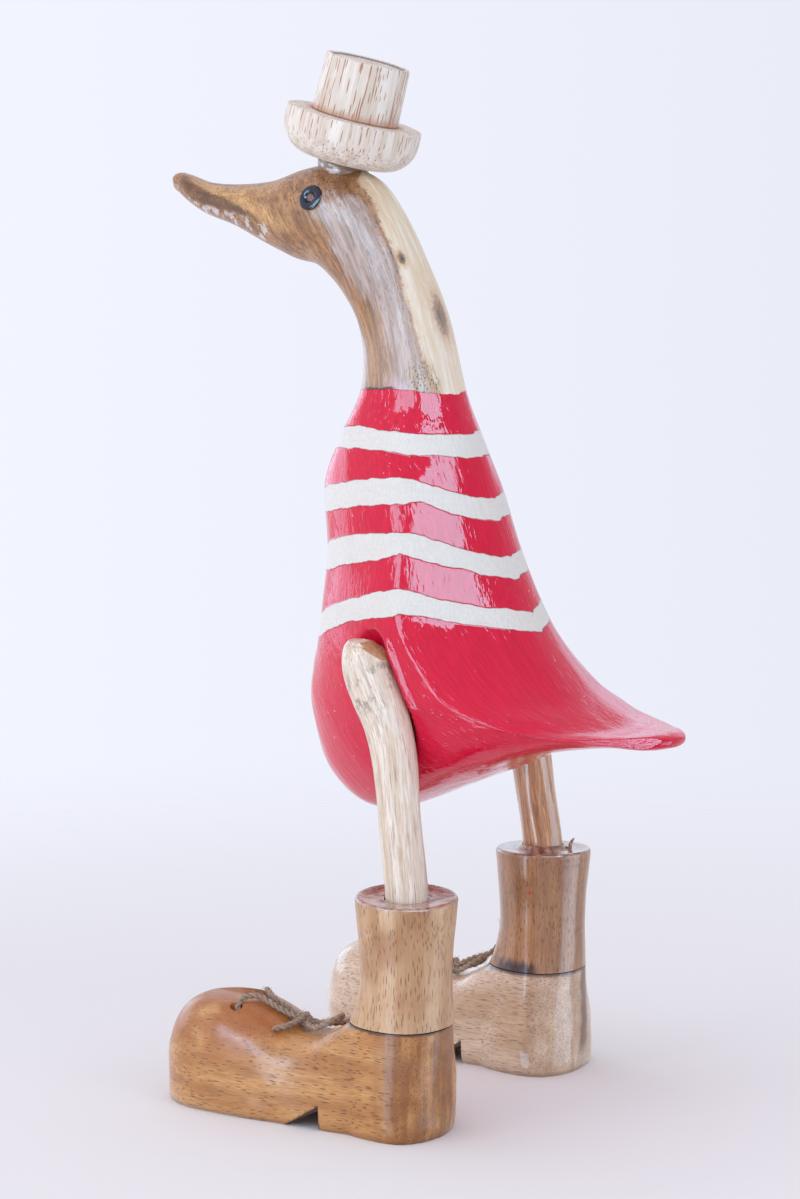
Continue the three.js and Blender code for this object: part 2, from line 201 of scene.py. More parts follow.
def ringFaces(rings, sides, start=0):
    i = np.arange(rings - 1)[:, None] * sides + start
    j = np.arange(sides)[None, :]
    k = (j + 1) % sides
    faces = np.stack([i + j, i + k, i + k + sides, i + j + sides], -1).reshape(-1, 4).tolist()
    first, last = start, start + (rings - 1) * sides
    low, high = last + sides, last + sides + 1
    faces += [[low, first + (n + 1) % sides, first + n] for n in range(sides)]
    faces += [[high, last + n, last + (n + 1) % sides] for n in range(sides)]
    return faces


def capped(rings):  # what the rings of a loft hold, and one middle value for each end
    rings = np.asarray(rings, float)
    return np.concatenate([rings.reshape(-1, *rings.shape[2:]), [rings[0].mean(0), rings[-1].mean(0)]])


def tube(path, radius, sides):  # a round tube along a path: points, faces and directions across
    path = np.asarray(path, float)
    along = unit(np.gradient(path, axis=0))
    side = np.cross(along[0], [0.3, 0.2, 0.93])
    frames = []
    for a in along:
        side = unit(side - a * side.dot(a))
        frames.append((side, np.cross(a, side)))
    radii = np.broadcast_to(radius, len(path))
    rings = [c + r * hoop(u, w, sides) for c, r, (u, w) in zip(path, radii, frames)]
    return capped(rings), ringFaces(len(path), sides), frames


def addMarks(mesh, marks):  # values at each point, which the material reads
    for name, values in marks.items():
        values = np.asarray(values, float)
        kind, key = ("FLOAT_VECTOR", "vector") if values.ndim == 2 else ("FLOAT", "value")
        mesh.attributes.new(name, kind, "POINT").data.foreach_set(key, values.ravel())


def plainMesh(name, points, faces, marks=None):
    mesh = bpy.data.meshes.new(name)
    mesh.from_pydata(metres(points).tolist(), [], faces)
    work = bmesh.new()
    work.from_mesh(mesh)
    bmesh.ops.recalc_face_normals(work, faces=work.faces)
    work.to_mesh(mesh)
    work.free()
    addMarks(mesh, marks or {})
    return mesh


def sliceOff(work, at, normal):  # cuts away what lies beyond a plane, and gives the edges of the cut
    cut = bmesh.ops.bisect_plane(work, geom=work.verts[:] + work.edges[:] + work.faces[:], dist=1e-7,
                                 plane_co=Vector(metres(at)), plane_no=Vector(normal), clear_outer=True)
    return [e for e in cut["geom_cut"] if isinstance(e, bmesh.types.BMEdge)]


def newObject(name, data):
    made = bpy.data.objects.new(name, data)
    bpy.context.scene.collection.objects.link(made)
    return made


def piece(name, mesh, material, stands=(), sharp=None):
    made = newObject(name, mesh)
    mesh.polygons.foreach_set("use_smooth", [True] * len(mesh.polygons))
    if sharp:
        mesh.set_sharp_from_angle(angle=math.radians(sharp))
    mesh.materials.append(material)
    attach(made, "root")
    if stands:
        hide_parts(*stands)


# The duck's body
duck = {
    "rings": 420,
    "sides": 224,
    "ridge": 0.022,  # how far the ridge is rounded over
    "grainCentre": (-224, 241.5),  # the wood's fibres bend round this Y Z
    "billEnd": (8, 25, 43, 61, 77),  # degrees by which the first rings are rounded over
    "knifeDepth": 0.32,
    "raspDepth": 0.1,
    "tailFace": (0.657, 0.68, 0.326),  # the way that the flatter cut at each side of the tail's end looks
    "tailCut": 2.3,
    # Y Z of the throat, breast and belly line, X Y Z of the widest line, Y Z of the crown, nape and
    # back line, and how full the section is on the belly's side and on the back's
    "stations": [
        (-141.6, 354.6, 3.6, -141.9, 357.4, -140.9, 360.0, 2, 2),
        (-136.4, 349.8, 7.2, -135.6, 354.4, -135.2, 359.2, 2, 2),
        (-125.0, 343.0, 10.0, -124.1, 348.8, -124.0, 355.9, 2, 2),
        (-110.3, 337.8, 11.5, -109.0, 345.5, -107.5, 354.8, 2, 2),
        (-95.9, 330.6, 13.0, -93.5, 343.0, -91.8, 355.8, 2, 2),
        (-82.6, 324.9, 15.5, -79.5, 341.7, -77.4, 360.0, 2, 2),
        (-70.9, 322.3, 17.5, -66.5, 340.5, -62.3, 361.2, 2, 2),
        (-61.8, 315.4, 17.0, -54.0, 334.5, -46.1, 355.5, 2.3, 2.3),
        (-54.5, 307.4, 16.2, -45.0, 324.0, -34.7, 341.6, 2.8, 2.8),
        (-49.3, 297.8, 15.6, -37.5, 310.5, -24.9, 324.0, 3, 3),
        (-47.1, 285.9, 15.6, -31.5, 295.0, -15.8, 303.7, 3, 3),
        (-49.2, 273.2, 17.2, -28.5, 273.6, -7.4, 274.1, 2.8, 2.8),
        (-58.8, 255.5, 23.0, -26.0, 256.3, -0.2, 257.0, 2.4, 2),
        (-65.6, 237.3, 30.0, -19.0, 238.0, 6.9, 238.6, 2, 1.5),
        (-64.0, 212.7, 36.5, -12.0, 213.5, 14.8, 214.3, 1.7, 1.25),
        (-66.6, 185.6, 42.0, -9.0, 191.0, 26.7, 189.2, 1.5, 1.2),
        (-70.4, 166.4, 46.0, 2.0, 174.5, 37.4, 172.9, 1.5, 1.3),
        (-71.8, 148.5, 48.0, 14.0, 162.4, 47.5, 161.6, 1.5, 1.45),
        (-62.4, 123.4, 47.0, 26.0, 157.0, 57.0, 155.2, 1.6, 1.6),
        (-38.5, 111.1, 44.5, 36.0, 153.5, 64.0, 151.8, 1.7, 1.6),
        (2.1, 124.9, 40.0, 46.0, 151.3, 71.0, 150.9, 1.7, 1.6),
        (31.0, 138.0, 33.5, 59.0, 149.4, 77.0, 150.7, 1.7, 1.7),
        (61.0, 143.8, 24.5, 72.0, 148.3, 82.0, 150.9, 1.8, 1.8),
        (79.5, 144.2, 16.5, 81.5, 147.4, 85.4, 150.3, 2, 2),
        (86.6, 145.6, 6.0, 87.2, 147.3, 87.6, 149.2, 2, 2),
    ],
}

# Where the paint ends: height of each painted edge at places round the body, 0 in front, 90 at the side
shirt = {
    "places": (0, 32, 64, 80, 92, 112, 136, 160, 180),
    "neckline": (274.5, 274.8, 275.0, 275.0, 275.6, 275.2, 274.2, 273.4, 273.2),
    "stripes": [
        ((259.8, 260.2, 261.1, 260.6, 260.0, 259.2, 258.8, 258.5, 258.4),
         (252.0, 252.3, 252.7, 252.7, 252.4, 251.4, 250.4, 249.6, 249.4)),
        ((235.5, 236.9, 241.0, 242.2, 242.6, 242.0, 238.0, 234.8, 234.3),
         (226.5, 227.4, 230.8, 232.0, 233.0, 234.0, 229.3, 226.6, 225.7)),
        ((213.0, 215.6, 220.8, 222.0, 222.9, 221.1, 216.4, 213.2, 212.4),
         (203.0, 204.9, 209.8, 212.2, 215.4, 212.0, 208.4, 205.4, 204.2)),
        ((186.0, 188.9, 196.5, 200.2, 202.3, 199.2, 195.7, 193.3, 192.0),
         (176.5, 179.2, 188.2, 190.3, 192.8, 191.3, 188.4, 186.0, 184.4)),
    ],
}

# The marks in the bare wood, by station and by place round the neck
sapwood = {
    "station": (6.6, 6.9, 7.25, 7.7, 8.1, 8.9, 9.5, 10.1, 10.5, 10.9, 11.4),
    "from": (178, 150, 150, 146, 141, 141, 133, 132, 136, 145, 146),
}
# where the painted reflection of the light in the varnish lies on the neck, by station and place
sheenSpan = {
    "station": (6.15, 6.3, 6.8, 7.25, 7.85, 8.45, 9.0, 9.6, 10.2, 10.9, 11.3),
    "from": (110, 104, 84, 73, 66, 71, 83, 89, 88, 91, 92),
    "to": (112, 119, 128, 137, 141, 139, 137, 134, 136, 142, 144),
}
woodKnots = {
    "lean": 24,
    "spots": [  # middle, and half sizes across, in depth and up
        ((9.2, -27.9, 324.8), (1.9, 1.9, 3.0)), ((0.4, -16.0, 303.0), (4.4, 4.0, 10.0)),
    ],
}

eye = {
    "at": (-66.0, 348.5),  # Y Z
    "radius": 4.75,
    "sides": 72,
    "seat": 1.5,  # depth of the flat that it stands on
    "profile": [  # distance from the middle, height
        (0.0, 0.1), (0.5, 0.08), (1.0, 0.0), (1.4, -0.18), (1.65, -0.42), (1.85, -0.5), (2.05, -0.35),
        (2.35, 0.02), (2.75, 0.26), (3.2, 0.36), (3.7, 0.36), (4.2, 0.28), (4.65, 0.14), (5.0, -0.1),
        (5.1, -0.7),
    ],
    "navy": rgb(16, 20, 38), "navyLight": rgb(24, 30, 52),
    "heart": rgb(92, 56, 46), "heartLight": rgb(150, 108, 92),
}

# The legs, whose line the slots in the body follow too
stick = {
    "rings": 150,
    "sides": 44,
    "thick": 1.04,
    "line": [  # height, share of the bend forward into the hip, radius
        (76, 0, 8.1), (88, 0, 8.1), (112, 0.12, 8.0), (138, 0.26, 8.3), (152, 0.42, 8.9),
        (162, 0.66, 9.4), (172, 0.9, 9.2), (179, 1, 7.8), (182, 1, 4.8),
    ],
    "sawSlope": 32,
    "sawBehind": 2.5,
    "sawHeight": 181.3,
    "sawn": rgb(176, 130, 88), "sawnLight": rgb(204, 162, 118), "bark": rgb(116, 94, 78),
}
slot = {"gap": 0.35, "soft": 1.1, "start": 2.6, "lip": 1.5, "lipWidth": 1.7}
# Each side's own sizes: reach is the boot's length in front, heel a factor on its heel, lean the tilt of
# its shaft in degrees, and collar a factor on the height of the glue
sides = {
    "left": {"sign": 1, "foot": (51, 1.5, 0), "hip": (44, -22.5), "reach": 105, "heel": 1.0,
             "lean": 3.5, "collar": 0.1},
    "right": {"sign": -1, "foot": (-57, -2.6, 0), "hip": (-47, -26.4), "reach": 99.5, "heel": 1.12,
              "lean": -1.7, "collar": 1.0},
}


def legRows(side, t):  # middle and radius of a leg at places along its line
    z, share, radius = through(stick["line"], t).T
    foot, hip = np.array(side["foot"][:2]), np.array(side["hip"])
    return np.column_stack([foot + (hip - foot) * share[:, None], z]), radius * stick["thick"]


def pressLegSlot(points, side):  # the carved slot for a leg, and the lip behind it
    sign, soft = side["sign"], slot["soft"]
    x, y, z = points.T
    near = np.where((x * sign > 12) & (z > 128) & (z < 200) & (np.abs(y - side["hip"][1]) < 40))[0]
    axis, radius = legRows(side, np.linspace(slot["start"], len(stick["line"]) - 1, 260))
    flat = np.linalg.norm(points[near][:, None, 1:] - axis[None, :, 1:], axis=2)
    best = (flat - radius[None, :]).argmin(1)
    rows = np.arange(len(near))
    across, centre, wide = flat[rows, best], axis[best], radius[best] + slot["gap"]
    floor = centre[:, 0] * sign - np.sqrt(np.maximum(0, wide ** 2 - across ** 2))
    skin = points[near, 0] * sign
    step = np.clip(soft - np.abs(skin - floor), 0, None) / soft
    lower = np.minimum(skin, floor) - step * step * soft * 0.25
    behind = smooth(-2, 3, points[near, 1] - centre[:, 1]) * smooth(156, 160, points[near, 2])
    behind = behind * smooth(188, 178, points[near, 2])
    lip = slot["lip"] * np.exp(-((across - wide - slot["lip"]) / slot["lipWidth"]) ** 2) * behind
    pressed = np.where(across < wide, lower, skin + lip * smooth(0, 0.8, across - wide))
    points[near, 0] = pressed * sign


def loftDuck():  # points, the way out of the wood, station, place round the body, and a grid to brush along
    stations = np.array(duck["stations"])
    fine = np.linspace(0, len(stations) - 1, 4000)
    line = through(stations, fine)
    length = runLength((line[:, 0:2] + line[:, 3:5] + line[:, 5:7]) / 3)
    reach = np.linspace(0, length[-1], duck["rings"])
    t = np.interp(reach, length, fine)
    row = through(stations, t)
    turn = circle(duck["sides"])
    angle = turn + 0.35 * np.sin(2 * turn)  # closer together along the ridge
    share = np.abs(np.cos(angle))
    front = np.cos(angle) >= 0
    end = np.where(front[None, :, None], row[:, None, 0:2], row[:, None, 5:7])
    full = np.where(front[None, :], row[:, 7:8], row[:, 8:9])
    soft = np.sqrt(share ** 2 + (duck["ridge"] * (1 - share)) ** 2)[None, :]
    wide = np.sqrt(np.maximum(0, 1 - soft ** full) / (1 - duck["ridge"] ** full))
    x = row[:, 2:3] * wide * np.sign(np.sin(angle))[None, :]
    middle = row[:, None, 3:5]
    skin = np.dstack([x, middle + (end - middle) * share[None, :, None]])
    out = np.cross(np.roll(skin, -1, 1) - np.roll(skin, 1, 1), np.gradient(skin, axis=0))
    out /= np.linalg.norm(out, axis=2, keepdims=True) + 1e-9
    centre = np.dstack([0 * row[:, None, 3:4], middle])
    out *= np.sign(((skin - centre) * out).sum(2).mean())
    tip, bill = skin[0].mean(0) + [0, -0.8, 0], skin[len(duck["billEnd"])].copy()
    inside = bill.mean(0)
    for ring, lean in enumerate(np.radians(duck["billEnd"])):
        skin[ring] = inside + (tip - inside) * math.cos(lean) + (bill - inside) * math.sin(lean)
    points = skin.reshape(-1, 3)
    depth = (np.cos(angle)[None, :] * np.linalg.norm(end - middle, axis=2)).ravel()
    brush = np.column_stack([points[:, 0], depth, np.repeat(reach, duck["sides"])])
    place = np.tile(np.degrees(np.minimum(angle, 2 * np.pi - angle)), duck["rings"])
    return points, out.reshape(-1, 3), np.repeat(t, duck["sides"]), place, brush


def cutTail(points):  # the tail's end is cut flatter at each side
    for sign in (1, -1):
        face = np.array(duck["tailFace"]) * (sign, 1, 1)
        tail = (points[:, 1] > 55) & (points[:, 0] * sign > 0)
        over = points[tail] @ face
        over -= over.max() - duck["tailCut"]
        points[tail] -= face * (0.5 * (over + np.sqrt(over ** 2 + 0.06)) * (over > -2))[:, None]


def seatEyes(points, out):  # a flat seat for each eye, and where the eyes stand
    eyes = {}
    for name, side in sides.items():
        spot = (points[:, 1] - eye["at"][0]) ** 2 + (points[:, 2] - eye["at"][1]) ** 2
        spot[points[:, 0] * side["sign"] < 5] = 1e9
        middle = points[spot.argmin()].copy()
        away = points - middle
        normal = unit(out[np.linalg.norm(away, axis=1) < 4].mean(0))
        high = away @ normal
        ring = np.linalg.norm(away - high[:, None] * normal, axis=1)
        seat = smooth(eye["radius"] + 0.3, eye["radius"] - 0.6, ring) * (np.abs(high) < 6)
        eyes[name] = (middle, normal)
        points = points - normal * ((high + eye["seat"]) * seat)[:, None]
    return points, eyes


def carveDuck():
    points, out, station, place, brush = loftDuck()
    knife = grain3(brush * (1, 1, 0.45), 17.0) * duck["knifeDepth"]  # long shallow flats
    rasp = grain3(brush * (1, 1, 0.3), 6.0, 5.0) * duck["raspDepth"]
    inner = smooth(0, 2, station) * smooth(24, 22.5, station)
    points = points + out * ((knife + rasp) * inner - 0.1)[:, None]
    for side in sides.values():
        pressLegSlot(points, side)
    cutTail(points)
    marks = bodyMarks(points, station, place, brush)
    points, eyes = seatEyes(points, out)
    grid = (duck["rings"], duck["sides"])
    marks = {key: capped(v.reshape(*grid, *v.shape[1:])) for key, v in marks.items()}
    mesh = plainMesh("duckBody", capped(points.reshape(*grid, 3)), ringFaces(*grid), marks)
    piece("duckBody", mesh, duckFinish(), ["duck_body"])
    return eyes


def bodyMarks(points, station, place, brush):  # mostly distances to an edge, in mm
    wave = np.where(points[:, 0] < 0, np.sin(place / 23.0 + 1.0), 0.0)  # on the far side
    z = points[:, 2]

    def edge(heights):
        return np.interp(place, shirt["places"], heights) + wave

    body = station > 9.5
    neck = np.where(body, edge(shirt["neckline"]) - z, -30.0)
    stripe = np.full(len(z), -30.0)
    for top, bottom in shirt["stripes"]:
        stripe = np.maximum(stripe, np.minimum(edge(top) - z, z - edge(bottom)))
    stripe = np.where(body & (station < 16.5), stripe, -30.0)
    degree = 0.3  # mm round the neck
    pale = (place - np.interp(station, sapwood["station"], sapwood["from"])) * degree
    pale = np.where(station < sapwood["station"][0], -20.0, pale)
    # the band of painted reflection of the light down the neck
    start, stop = (np.interp(station, sheenSpan["station"], sheenSpan[key]) for key in ("from", "to"))
    paintedSheen = np.minimum(place - start, stop - place) * degree
    paintedSheen = np.minimum(paintedSheen, (station - 6.2) * 13)
    knots = np.full(len(z), 9.0)
    lean = math.radians(woodKnots["lean"])
    for at, size in woodKnots["spots"]:
        away = points - np.array(at)
        up = away[:, 2] * math.cos(lean) - away[:, 1] * math.sin(lean)
        back = away[:, 1] * math.cos(lean) + away[:, 2] * math.sin(lean)
        shares = (away[:, 0] / size[0], back / size[1], up / size[2])
        knots = np.minimum(knots, np.linalg.norm(shares, axis=0))
    across, upward = points[:, 1] - duck["grainCentre"][0], z - duck["grainCentre"][1]
    grain = np.column_stack([points[:, 0], np.hypot(across, upward), 197 * np.arctan2(upward, across)])
    return {"grain": grain, "brush": brush, "neck": neck, "stripe": stripe, "pale": pale, "paintedSheen": paintedSheen,
            "knot": knots, "station": station, "place": place}


headWood = {
    "dark": rgb(136, 88, 52), "light": rgb(188, 136, 90), "patch": rgb(172, 122, 82),
    "golden": rgb(224, 174, 112), "band": rgb(104, 62, 36), "crown": rgb(136, 92, 60),
    "throat": rgb(132, 94, 68), "fibre": rgb(112, 70, 42), "dots": rgb(70, 42, 28), "lines": rgb(96, 60, 40),
    # the sheen tones and lines are a painted reflection of the light in the varnish; worn is varnish worn
    # white
    "sheenTone": rgb(170, 145, 137), "sheenToneLight": rgb(202, 182, 178), "sheenFibre": rgb(148, 116, 98),
    "sheenLines": rgb(126, 96, 84), "worn": rgb(214, 205, 206),
    "pale": rgb(224, 202, 172), "paleLight": rgb(238, 228, 212), "paleFibre": rgb(208, 176, 138),
    "paleWarm": rgb(212, 172, 128), "tan": rgb(128, 84, 52), "tanLight": rgb(186, 136, 92),
    "borderDots": rgb(92, 60, 42), "knotRing": rgb(206, 160, 116), "knotEdge": rgb(140, 100, 74),
    "knotHeart": rgb(72, 48, 38), "faded": rgb(240, 224, 216), "stain": rgb(190, 152, 110),
    "stainDots": rgb(92, 66, 48), "blush": rgb(216, 180, 200), "seam": rgb(72, 34, 34),
    "roundPores": {"apart": 0.9, "length": 1.3, "wide": 0.42, "share": 0.75},
    "longPores": {"apart": 0.9, "length": 6.0, "wide": 0.3, "share": 0.75},
}


def bareWood(pot):  # the head and neck: colour, height in mm, roughness and varnish
    look = headWood
    grain = pot.mark("grain", "Vector")
    station, place = pot.mark("station"), pot.mark("place")
    bent = pot.wavy(grain, 16.0)
    fibre = pot.drawn(bent, (1.15, 1.15, 0.1), 4, 0.7)
    streak = pot.drawn(bent, (0.42, 0.42, 0.03), 4, 0.6)
    feather = pot.drawn(bent, (0.8, 0.8, 0.075), 5, 0.65)
    patch = pot.cloud(grain, 5.5, 4, 0.6)
    dots = pot.dashes(grain, look["roundPores"])
    lines = pot.dashes(grain, look["longPores"])
    # the bill: dark band, golden rings behind it
    bill = station + (place - 95) * 0.012 + (patch - 0.5) * 0.9
    rings = pot.node("ShaderNodeMath", {"operation": "SINE"}, {0: bill * 9.0}) * 0.5 + 0.5
    sweep = bill - 2.5 - (135 - place) * 0.0305  # runs down and back across the bill
    golden = sweep.rise(-0.5, 0.0) * sweep.rise(1.4, 0.4) * place.rise(62, 78) * bill.rise(1.7, 2.8)
    behind = sweep.rise(0.5, 0.9) * bill.rise(5.4, 4.8) * place.rise(108, 126) * place.rise(162, 146)
    band = bill.rise(0.9, 2.0) * sweep.rise(0.0, -0.5) * place.rise(70, 90) * place.rise(148, 120)
    crown = station.rise(5.4, 6.6) * station.rise(8.6, 7.4) * place.rise(108, 136)
    throat = station.rise(9.0, 9.8) * place.rise(66, 80)
    spotted = (crown + band + station.rise(5.0, 6.0) * place.rise(96, 120)).least(1.0)
    wood = pot.mix(streak.rise(0.36, 0.64), look["dark"], look["light"])
    wood = pot.layers(wood, look, [
        (patch.rise(0.4, 0.7) * 0.5, "patch"),
        ((golden * 0.8 + behind * 0.4) * (0.6 + rings * 0.4), "golden"),
        (band * (0.55 + patch.rise(0.35, 0.6) * 0.4), "band"),
        (crown * 0.35, "crown"),
        (throat * 0.1, "throat"),
        (fibre.rise(0.54, 0.36) * 0.6, "fibre"),
        (dots * (0.2 + spotted * 0.6), "dots"),
        (lines * 0.6, "lines"),
    ])
    # pale streaks along the fibres, a painted reflection of the light in the varnish; and varnish worn white
    # along the lower bill
    paintedSheen = (pot.mark("paintedSheen") + (feather - 0.5) * 15.0).rise(-1.8, 2.4)
    sheenTone = pot.mix(pot.drawn(grain, (0.5, 0.5, 0.06), 4).rise(0.38, 0.62), look["sheenTone"], look["sheenToneLight"])
    wood = pot.mix(paintedSheen * (0.4 + feather.rise(0.32, 0.6) * 0.42), wood, sheenTone)
    worn = bill.rise(0.9, 1.6) * bill.rise(4.3, 3.9) * place.rise(30, 44) * place.rise(86, 68)
    flakes = pot.cloud(grain, 4.6, 5, 0.65).rise(0.5, 0.56)
    wood = pot.layers(wood, look, [
        (paintedSheen * fibre.rise(0.5, 0.36) * 0.35, "sheenFibre"),
        (paintedSheen * lines * 0.6, "sheenLines"),
        (worn * flakes * (0.55 + fibre.rise(0.35, 0.6) * 0.4), "worn"),
    ])
    # pale sapwood down the nape, its border speckled
    ragged = (pot.cloud(grain, 2.4, 4, 0.65) - 0.5) * 3.4 + (feather - 0.5) * 3.0
    paleEdge = pot.mark("pale") + ragged
    pale = pot.mix(streak.rise(0.38, 0.66), look["pale"], look["paleLight"])
    pale = pot.layers(pale, look, [
        (fibre.rise(0.54, 0.38) * 0.3, "paleFibre"),
        (pot.mark("pale").rise(5.0, 0.5) * (0.25 + patch.rise(0.4, 0.6) * 0.35), "paleWarm"),
    ])
    border = paleEdge.rise(-4.2, -0.8) * paleEdge.rise(2.2, 0.4)
    thin = 0.35 + station.rise(8.4, 7.2) * 0.45 + station.rise(10.1, 10.6) * 0.35
    tan = pot.mix(patch.rise(0.4, 0.6), look["tan"], look["tanLight"])
    wood = pot.mix(border * thin * (0.5 + patch.rise(0.4, 0.6) * 0.5), wood, tan)
    wood = pot.mix(paleEdge.rise(-0.4, 1.6), wood, pale)
    # two knots; the wood a little paler towards the shirt, and stained along its edge
    knot = pot.mark("knot") + (pot.cloud(grain, 1.6, 3) - 0.5) * 0.9
    neck = pot.mark("neck")
    stain = neck.rise(-14.0, -5.0) * place.rise(108, 124) * place.rise(158, 146)
    blush = neck.rise(-6.0, -1.0) * place.rise(84, 96) * place.rise(118, 104)
    seam = (neck + (patch - 0.5) * 2.4).rise(-1.3, -0.5) * place.rise(44, 56) * place.rise(102, 92)
    wood = pot.layers(wood, look, [
        (border * dots * (0.1 + thin * 0.6), "borderDots"),
        (knot.rise(1.8, 0.9) * 0.55, "knotRing"),
        (knot.rise(1.1, 0.6) * 0.8, "knotEdge"),
        (knot.rise(0.6, 0.3) * (0.4 + fibre.rise(0.5, 0.4) * 0.5), "knotHeart"),
        (station.rise(8.8, 10.2) * 0.14, "faded"),
        (stain * patch.rise(0.3, 0.55) * 0.6, "stain"),
        (stain * (dots + fibre.rise(0.48, 0.38) * 0.6).least(0.9), "stainDots"),
        (blush * 0.35, "blush"),
        (seam * 0.9, "seam"),
    ])
    height = fibre * 0.05 - lines * 0.04 - dots * spotted * 0.04 - knot.rise(0.9, 0.3) * 0.2
    dull = paleEdge.rise(-4, 0)
    return wood, height, 0.3 + paintedSheen * 0.12 + feather * 0.1 + dull * 0.25, 0.3 - dull * 0.26


shirtLook = {
    "red": rgb(206, 7, 53), "redLight": rgb(218, 15, 61), "white": rgb(216, 211, 204),
    # rim is a painted shadow line along the edges of the white stripes
    "whiteLight": rgb(225, 221, 214), "swipe": rgb(222, 198, 202), "rim": rgb(150, 60, 70),
    "crumb": rgb(236, 206, 212),
    "crumbs": {"apart": 3.0, "length": 3.0, "wide": 0.13, "share": 0.14},
    "hairs": {"apart": 1.5, "length": 7.0, "wide": 0.42, "share": 0.45},
}


def shirtPaint(pot):  # red with white bands, brushed downward: colour, height in mm and roughness
    look = shirtLook
    brush = pot.mark("brush", "Vector")
    stroke = pot.drawn(brush, (0.9, 0.9, 0.05), 1)
    fine = pot.drawn(brush, (2.4, 2.4, 0.1), 1)
    peel = pot.drawn(brush, (1.0, 1.0, 0.35), 1, size=2.4)
    swipe = pot.drawn(brush, (0.07, 0.07, 1.1), 3, 0.6)
    crumb, hairs = pot.dashes(brush, look["crumbs"]), pot.dashes(brush, look["hairs"])
    ragged = (pot.cloud(brush, 3.6, 1, 0.4) - 0.5) * 0.9 + (pot.cloud(brush, 10.0, 2) - 0.5) * 2.2
    edge = pot.mark("stripe") + ragged
    on = edge.rise(-0.12, 0.12)
    # a painted shadow line along each edge of the white stripes
    rim = edge.rise(-0.45, -0.1) * edge.rise(0.35, 0.05)
    red = pot.mix(stroke.rise(0.3, 0.7), look["red"], look["redLight"])
    white = pot.mix(fine.rise(0.3, 0.7), look["white"], look["whiteLight"])
    white = pot.mix(swipe.rise(0.5, 0.7) * 0.45, white, look["swipe"])
    colour = pot.mix(on * (0.93 + swipe.rise(0.25, 0.45) * 0.07), red, white)
    colour = pot.layers(colour, look, [(rim * 0.35, "rim"), (crumb * 0.7, "crumb")])
    height = stroke * 0.09 + fine * 0.008 + peel * 0.11 + hairs * 0.05
    height = height + on * 0.16 + rim * 0.05 + crumb * 0.12
    return colour, height, 0.05 + on * 0.55


def duckFinish():
    pot = Pot("carvedAndPainted")
    wood, woodHeight, woodRough, varnish = bareWood(pot)
    paint, paintHeight, paintRough = shirtPaint(pot)
    grain = pot.mark("grain", "Vector")
    edge = pot.mark("neck") + (pot.cloud(grain, 3.5, 4, 0.6) - 0.5) * 1.6
    on = edge.rise(-0.1, 0.12)
    colour = pot.mix(on, wood, paint)
    height = on * (paintHeight + 0.25) + (1 - on) * woodHeight
    rough = on * paintRough + (1 - on) * woodRough
    shine = {"Coat Weight": (1 - on) * varnish, "Coat Roughness": 0.12, "IOR": 1.4,
             "Specular Tint": (0.5, 1.0, 0.95, 1.0)}  # the paint mirrors little more red than it shows
    return pot.finish(colour, rough, height, shine)


def makeEyes(eyes):
    pot = Pot("eyePaint")
    spot = pot.mark("grain", "Vector")
    radius = pot.mark("ring") + (pot.cloud(spot, 1.2, 2) - 0.5) * 0.12
    navy = pot.mix(pot.cloud(spot, 0.8, 3).rise(0.4, 0.7), eye["navy"], eye["navyLight"])
    heart = pot.mix(pot.cloud(spot, 0.5, 4).rise(0.35, 0.65), eye["heart"], eye["heartLight"])
    middle = radius.rise(1.62, 1.48)
    shine = {"Coat Weight": 0.35 - middle * 0.35, "Coat Roughness": 0.03, "Specular IOR Level": 0.3}
    relief = pot.cloud(spot, 1.1, 3) * 0.05
    finish = pot.finish(pot.mix(middle, navy, heart), 0.06 + middle * 0.4, relief, shine)
    curve = through(eye["profile"], np.linspace(0, len(eye["profile"]) - 1, 64))
    for name, (at, normal) in eyes.items():
        up = unit(np.array([0, 0, 1.0]) - normal * normal[2])
        ring = hoop(np.cross(up, normal), up, eye["sides"])
        points = capped([at + normal * h + ring * max(r, 0.01) for r, h in curve])
        outward = np.append(np.repeat(curve[:, 0], eye["sides"]), [0, curve[-1, 0]])
        faces = ringFaces(len(curve), eye["sides"])
        mesh = plainMesh(name + "Eye", points, faces, {"grain": points, "ring": outward})
        piece(name + "Eye", mesh, finish)


# Bare and varnished woods; extra adds the marks of one piece
def woodFinish(name, look, extra):
    pot = Pot(name)
    grain = pot.mark("grain", "Vector")
    bent = pot.wavy(grain, 14.0)
    fibre = pot.drawn(bent, (1.8, 1.8, 0.1), 4, 0.65)
    band = pot.drawn(bent, (look["band"], look["band"], 0.012), 4, 0.55)
    mottle = pot.cloud(grain, 6.0, 4, 0.6)
    stain = pot.drawn(grain, (0.06, 0.06, 0.035)).rise(0.48, 0.66)
    pores = pot.dashes(grain, look["pores"])
    wood = pot.mix(band.rise(0.35, 0.65), look["dark"], look["light"])
    wood = pot.layers(wood, look, [
        (fibre.rise(0.6, 0.36) * look["fibre"], "line"),
        (mottle.rise(0.4, 0.7) * look["mottle"], "blotch"),
        (stain * look["stain"], "stainColour"),
    ])
    wood = pot.mix(pores * look["pores"]["strength"], wood, look["pores"]["colour"])
    height = fibre * 0.04 - pores * 0.12 + pot.cloud(grain, 1.3, 3) * look["lumps"]
    rough = look["rough"] + fibre * 0.14
    wood, height, rough, coat = extra(pot, grain, wood, height, rough, look["coat"])
    shine = {"Coat Weight": coat, "Coat Roughness": look["coatRough"],
             "Specular IOR Level": look["specular"]}
    return pot.finish(wood, rough, height, shine)


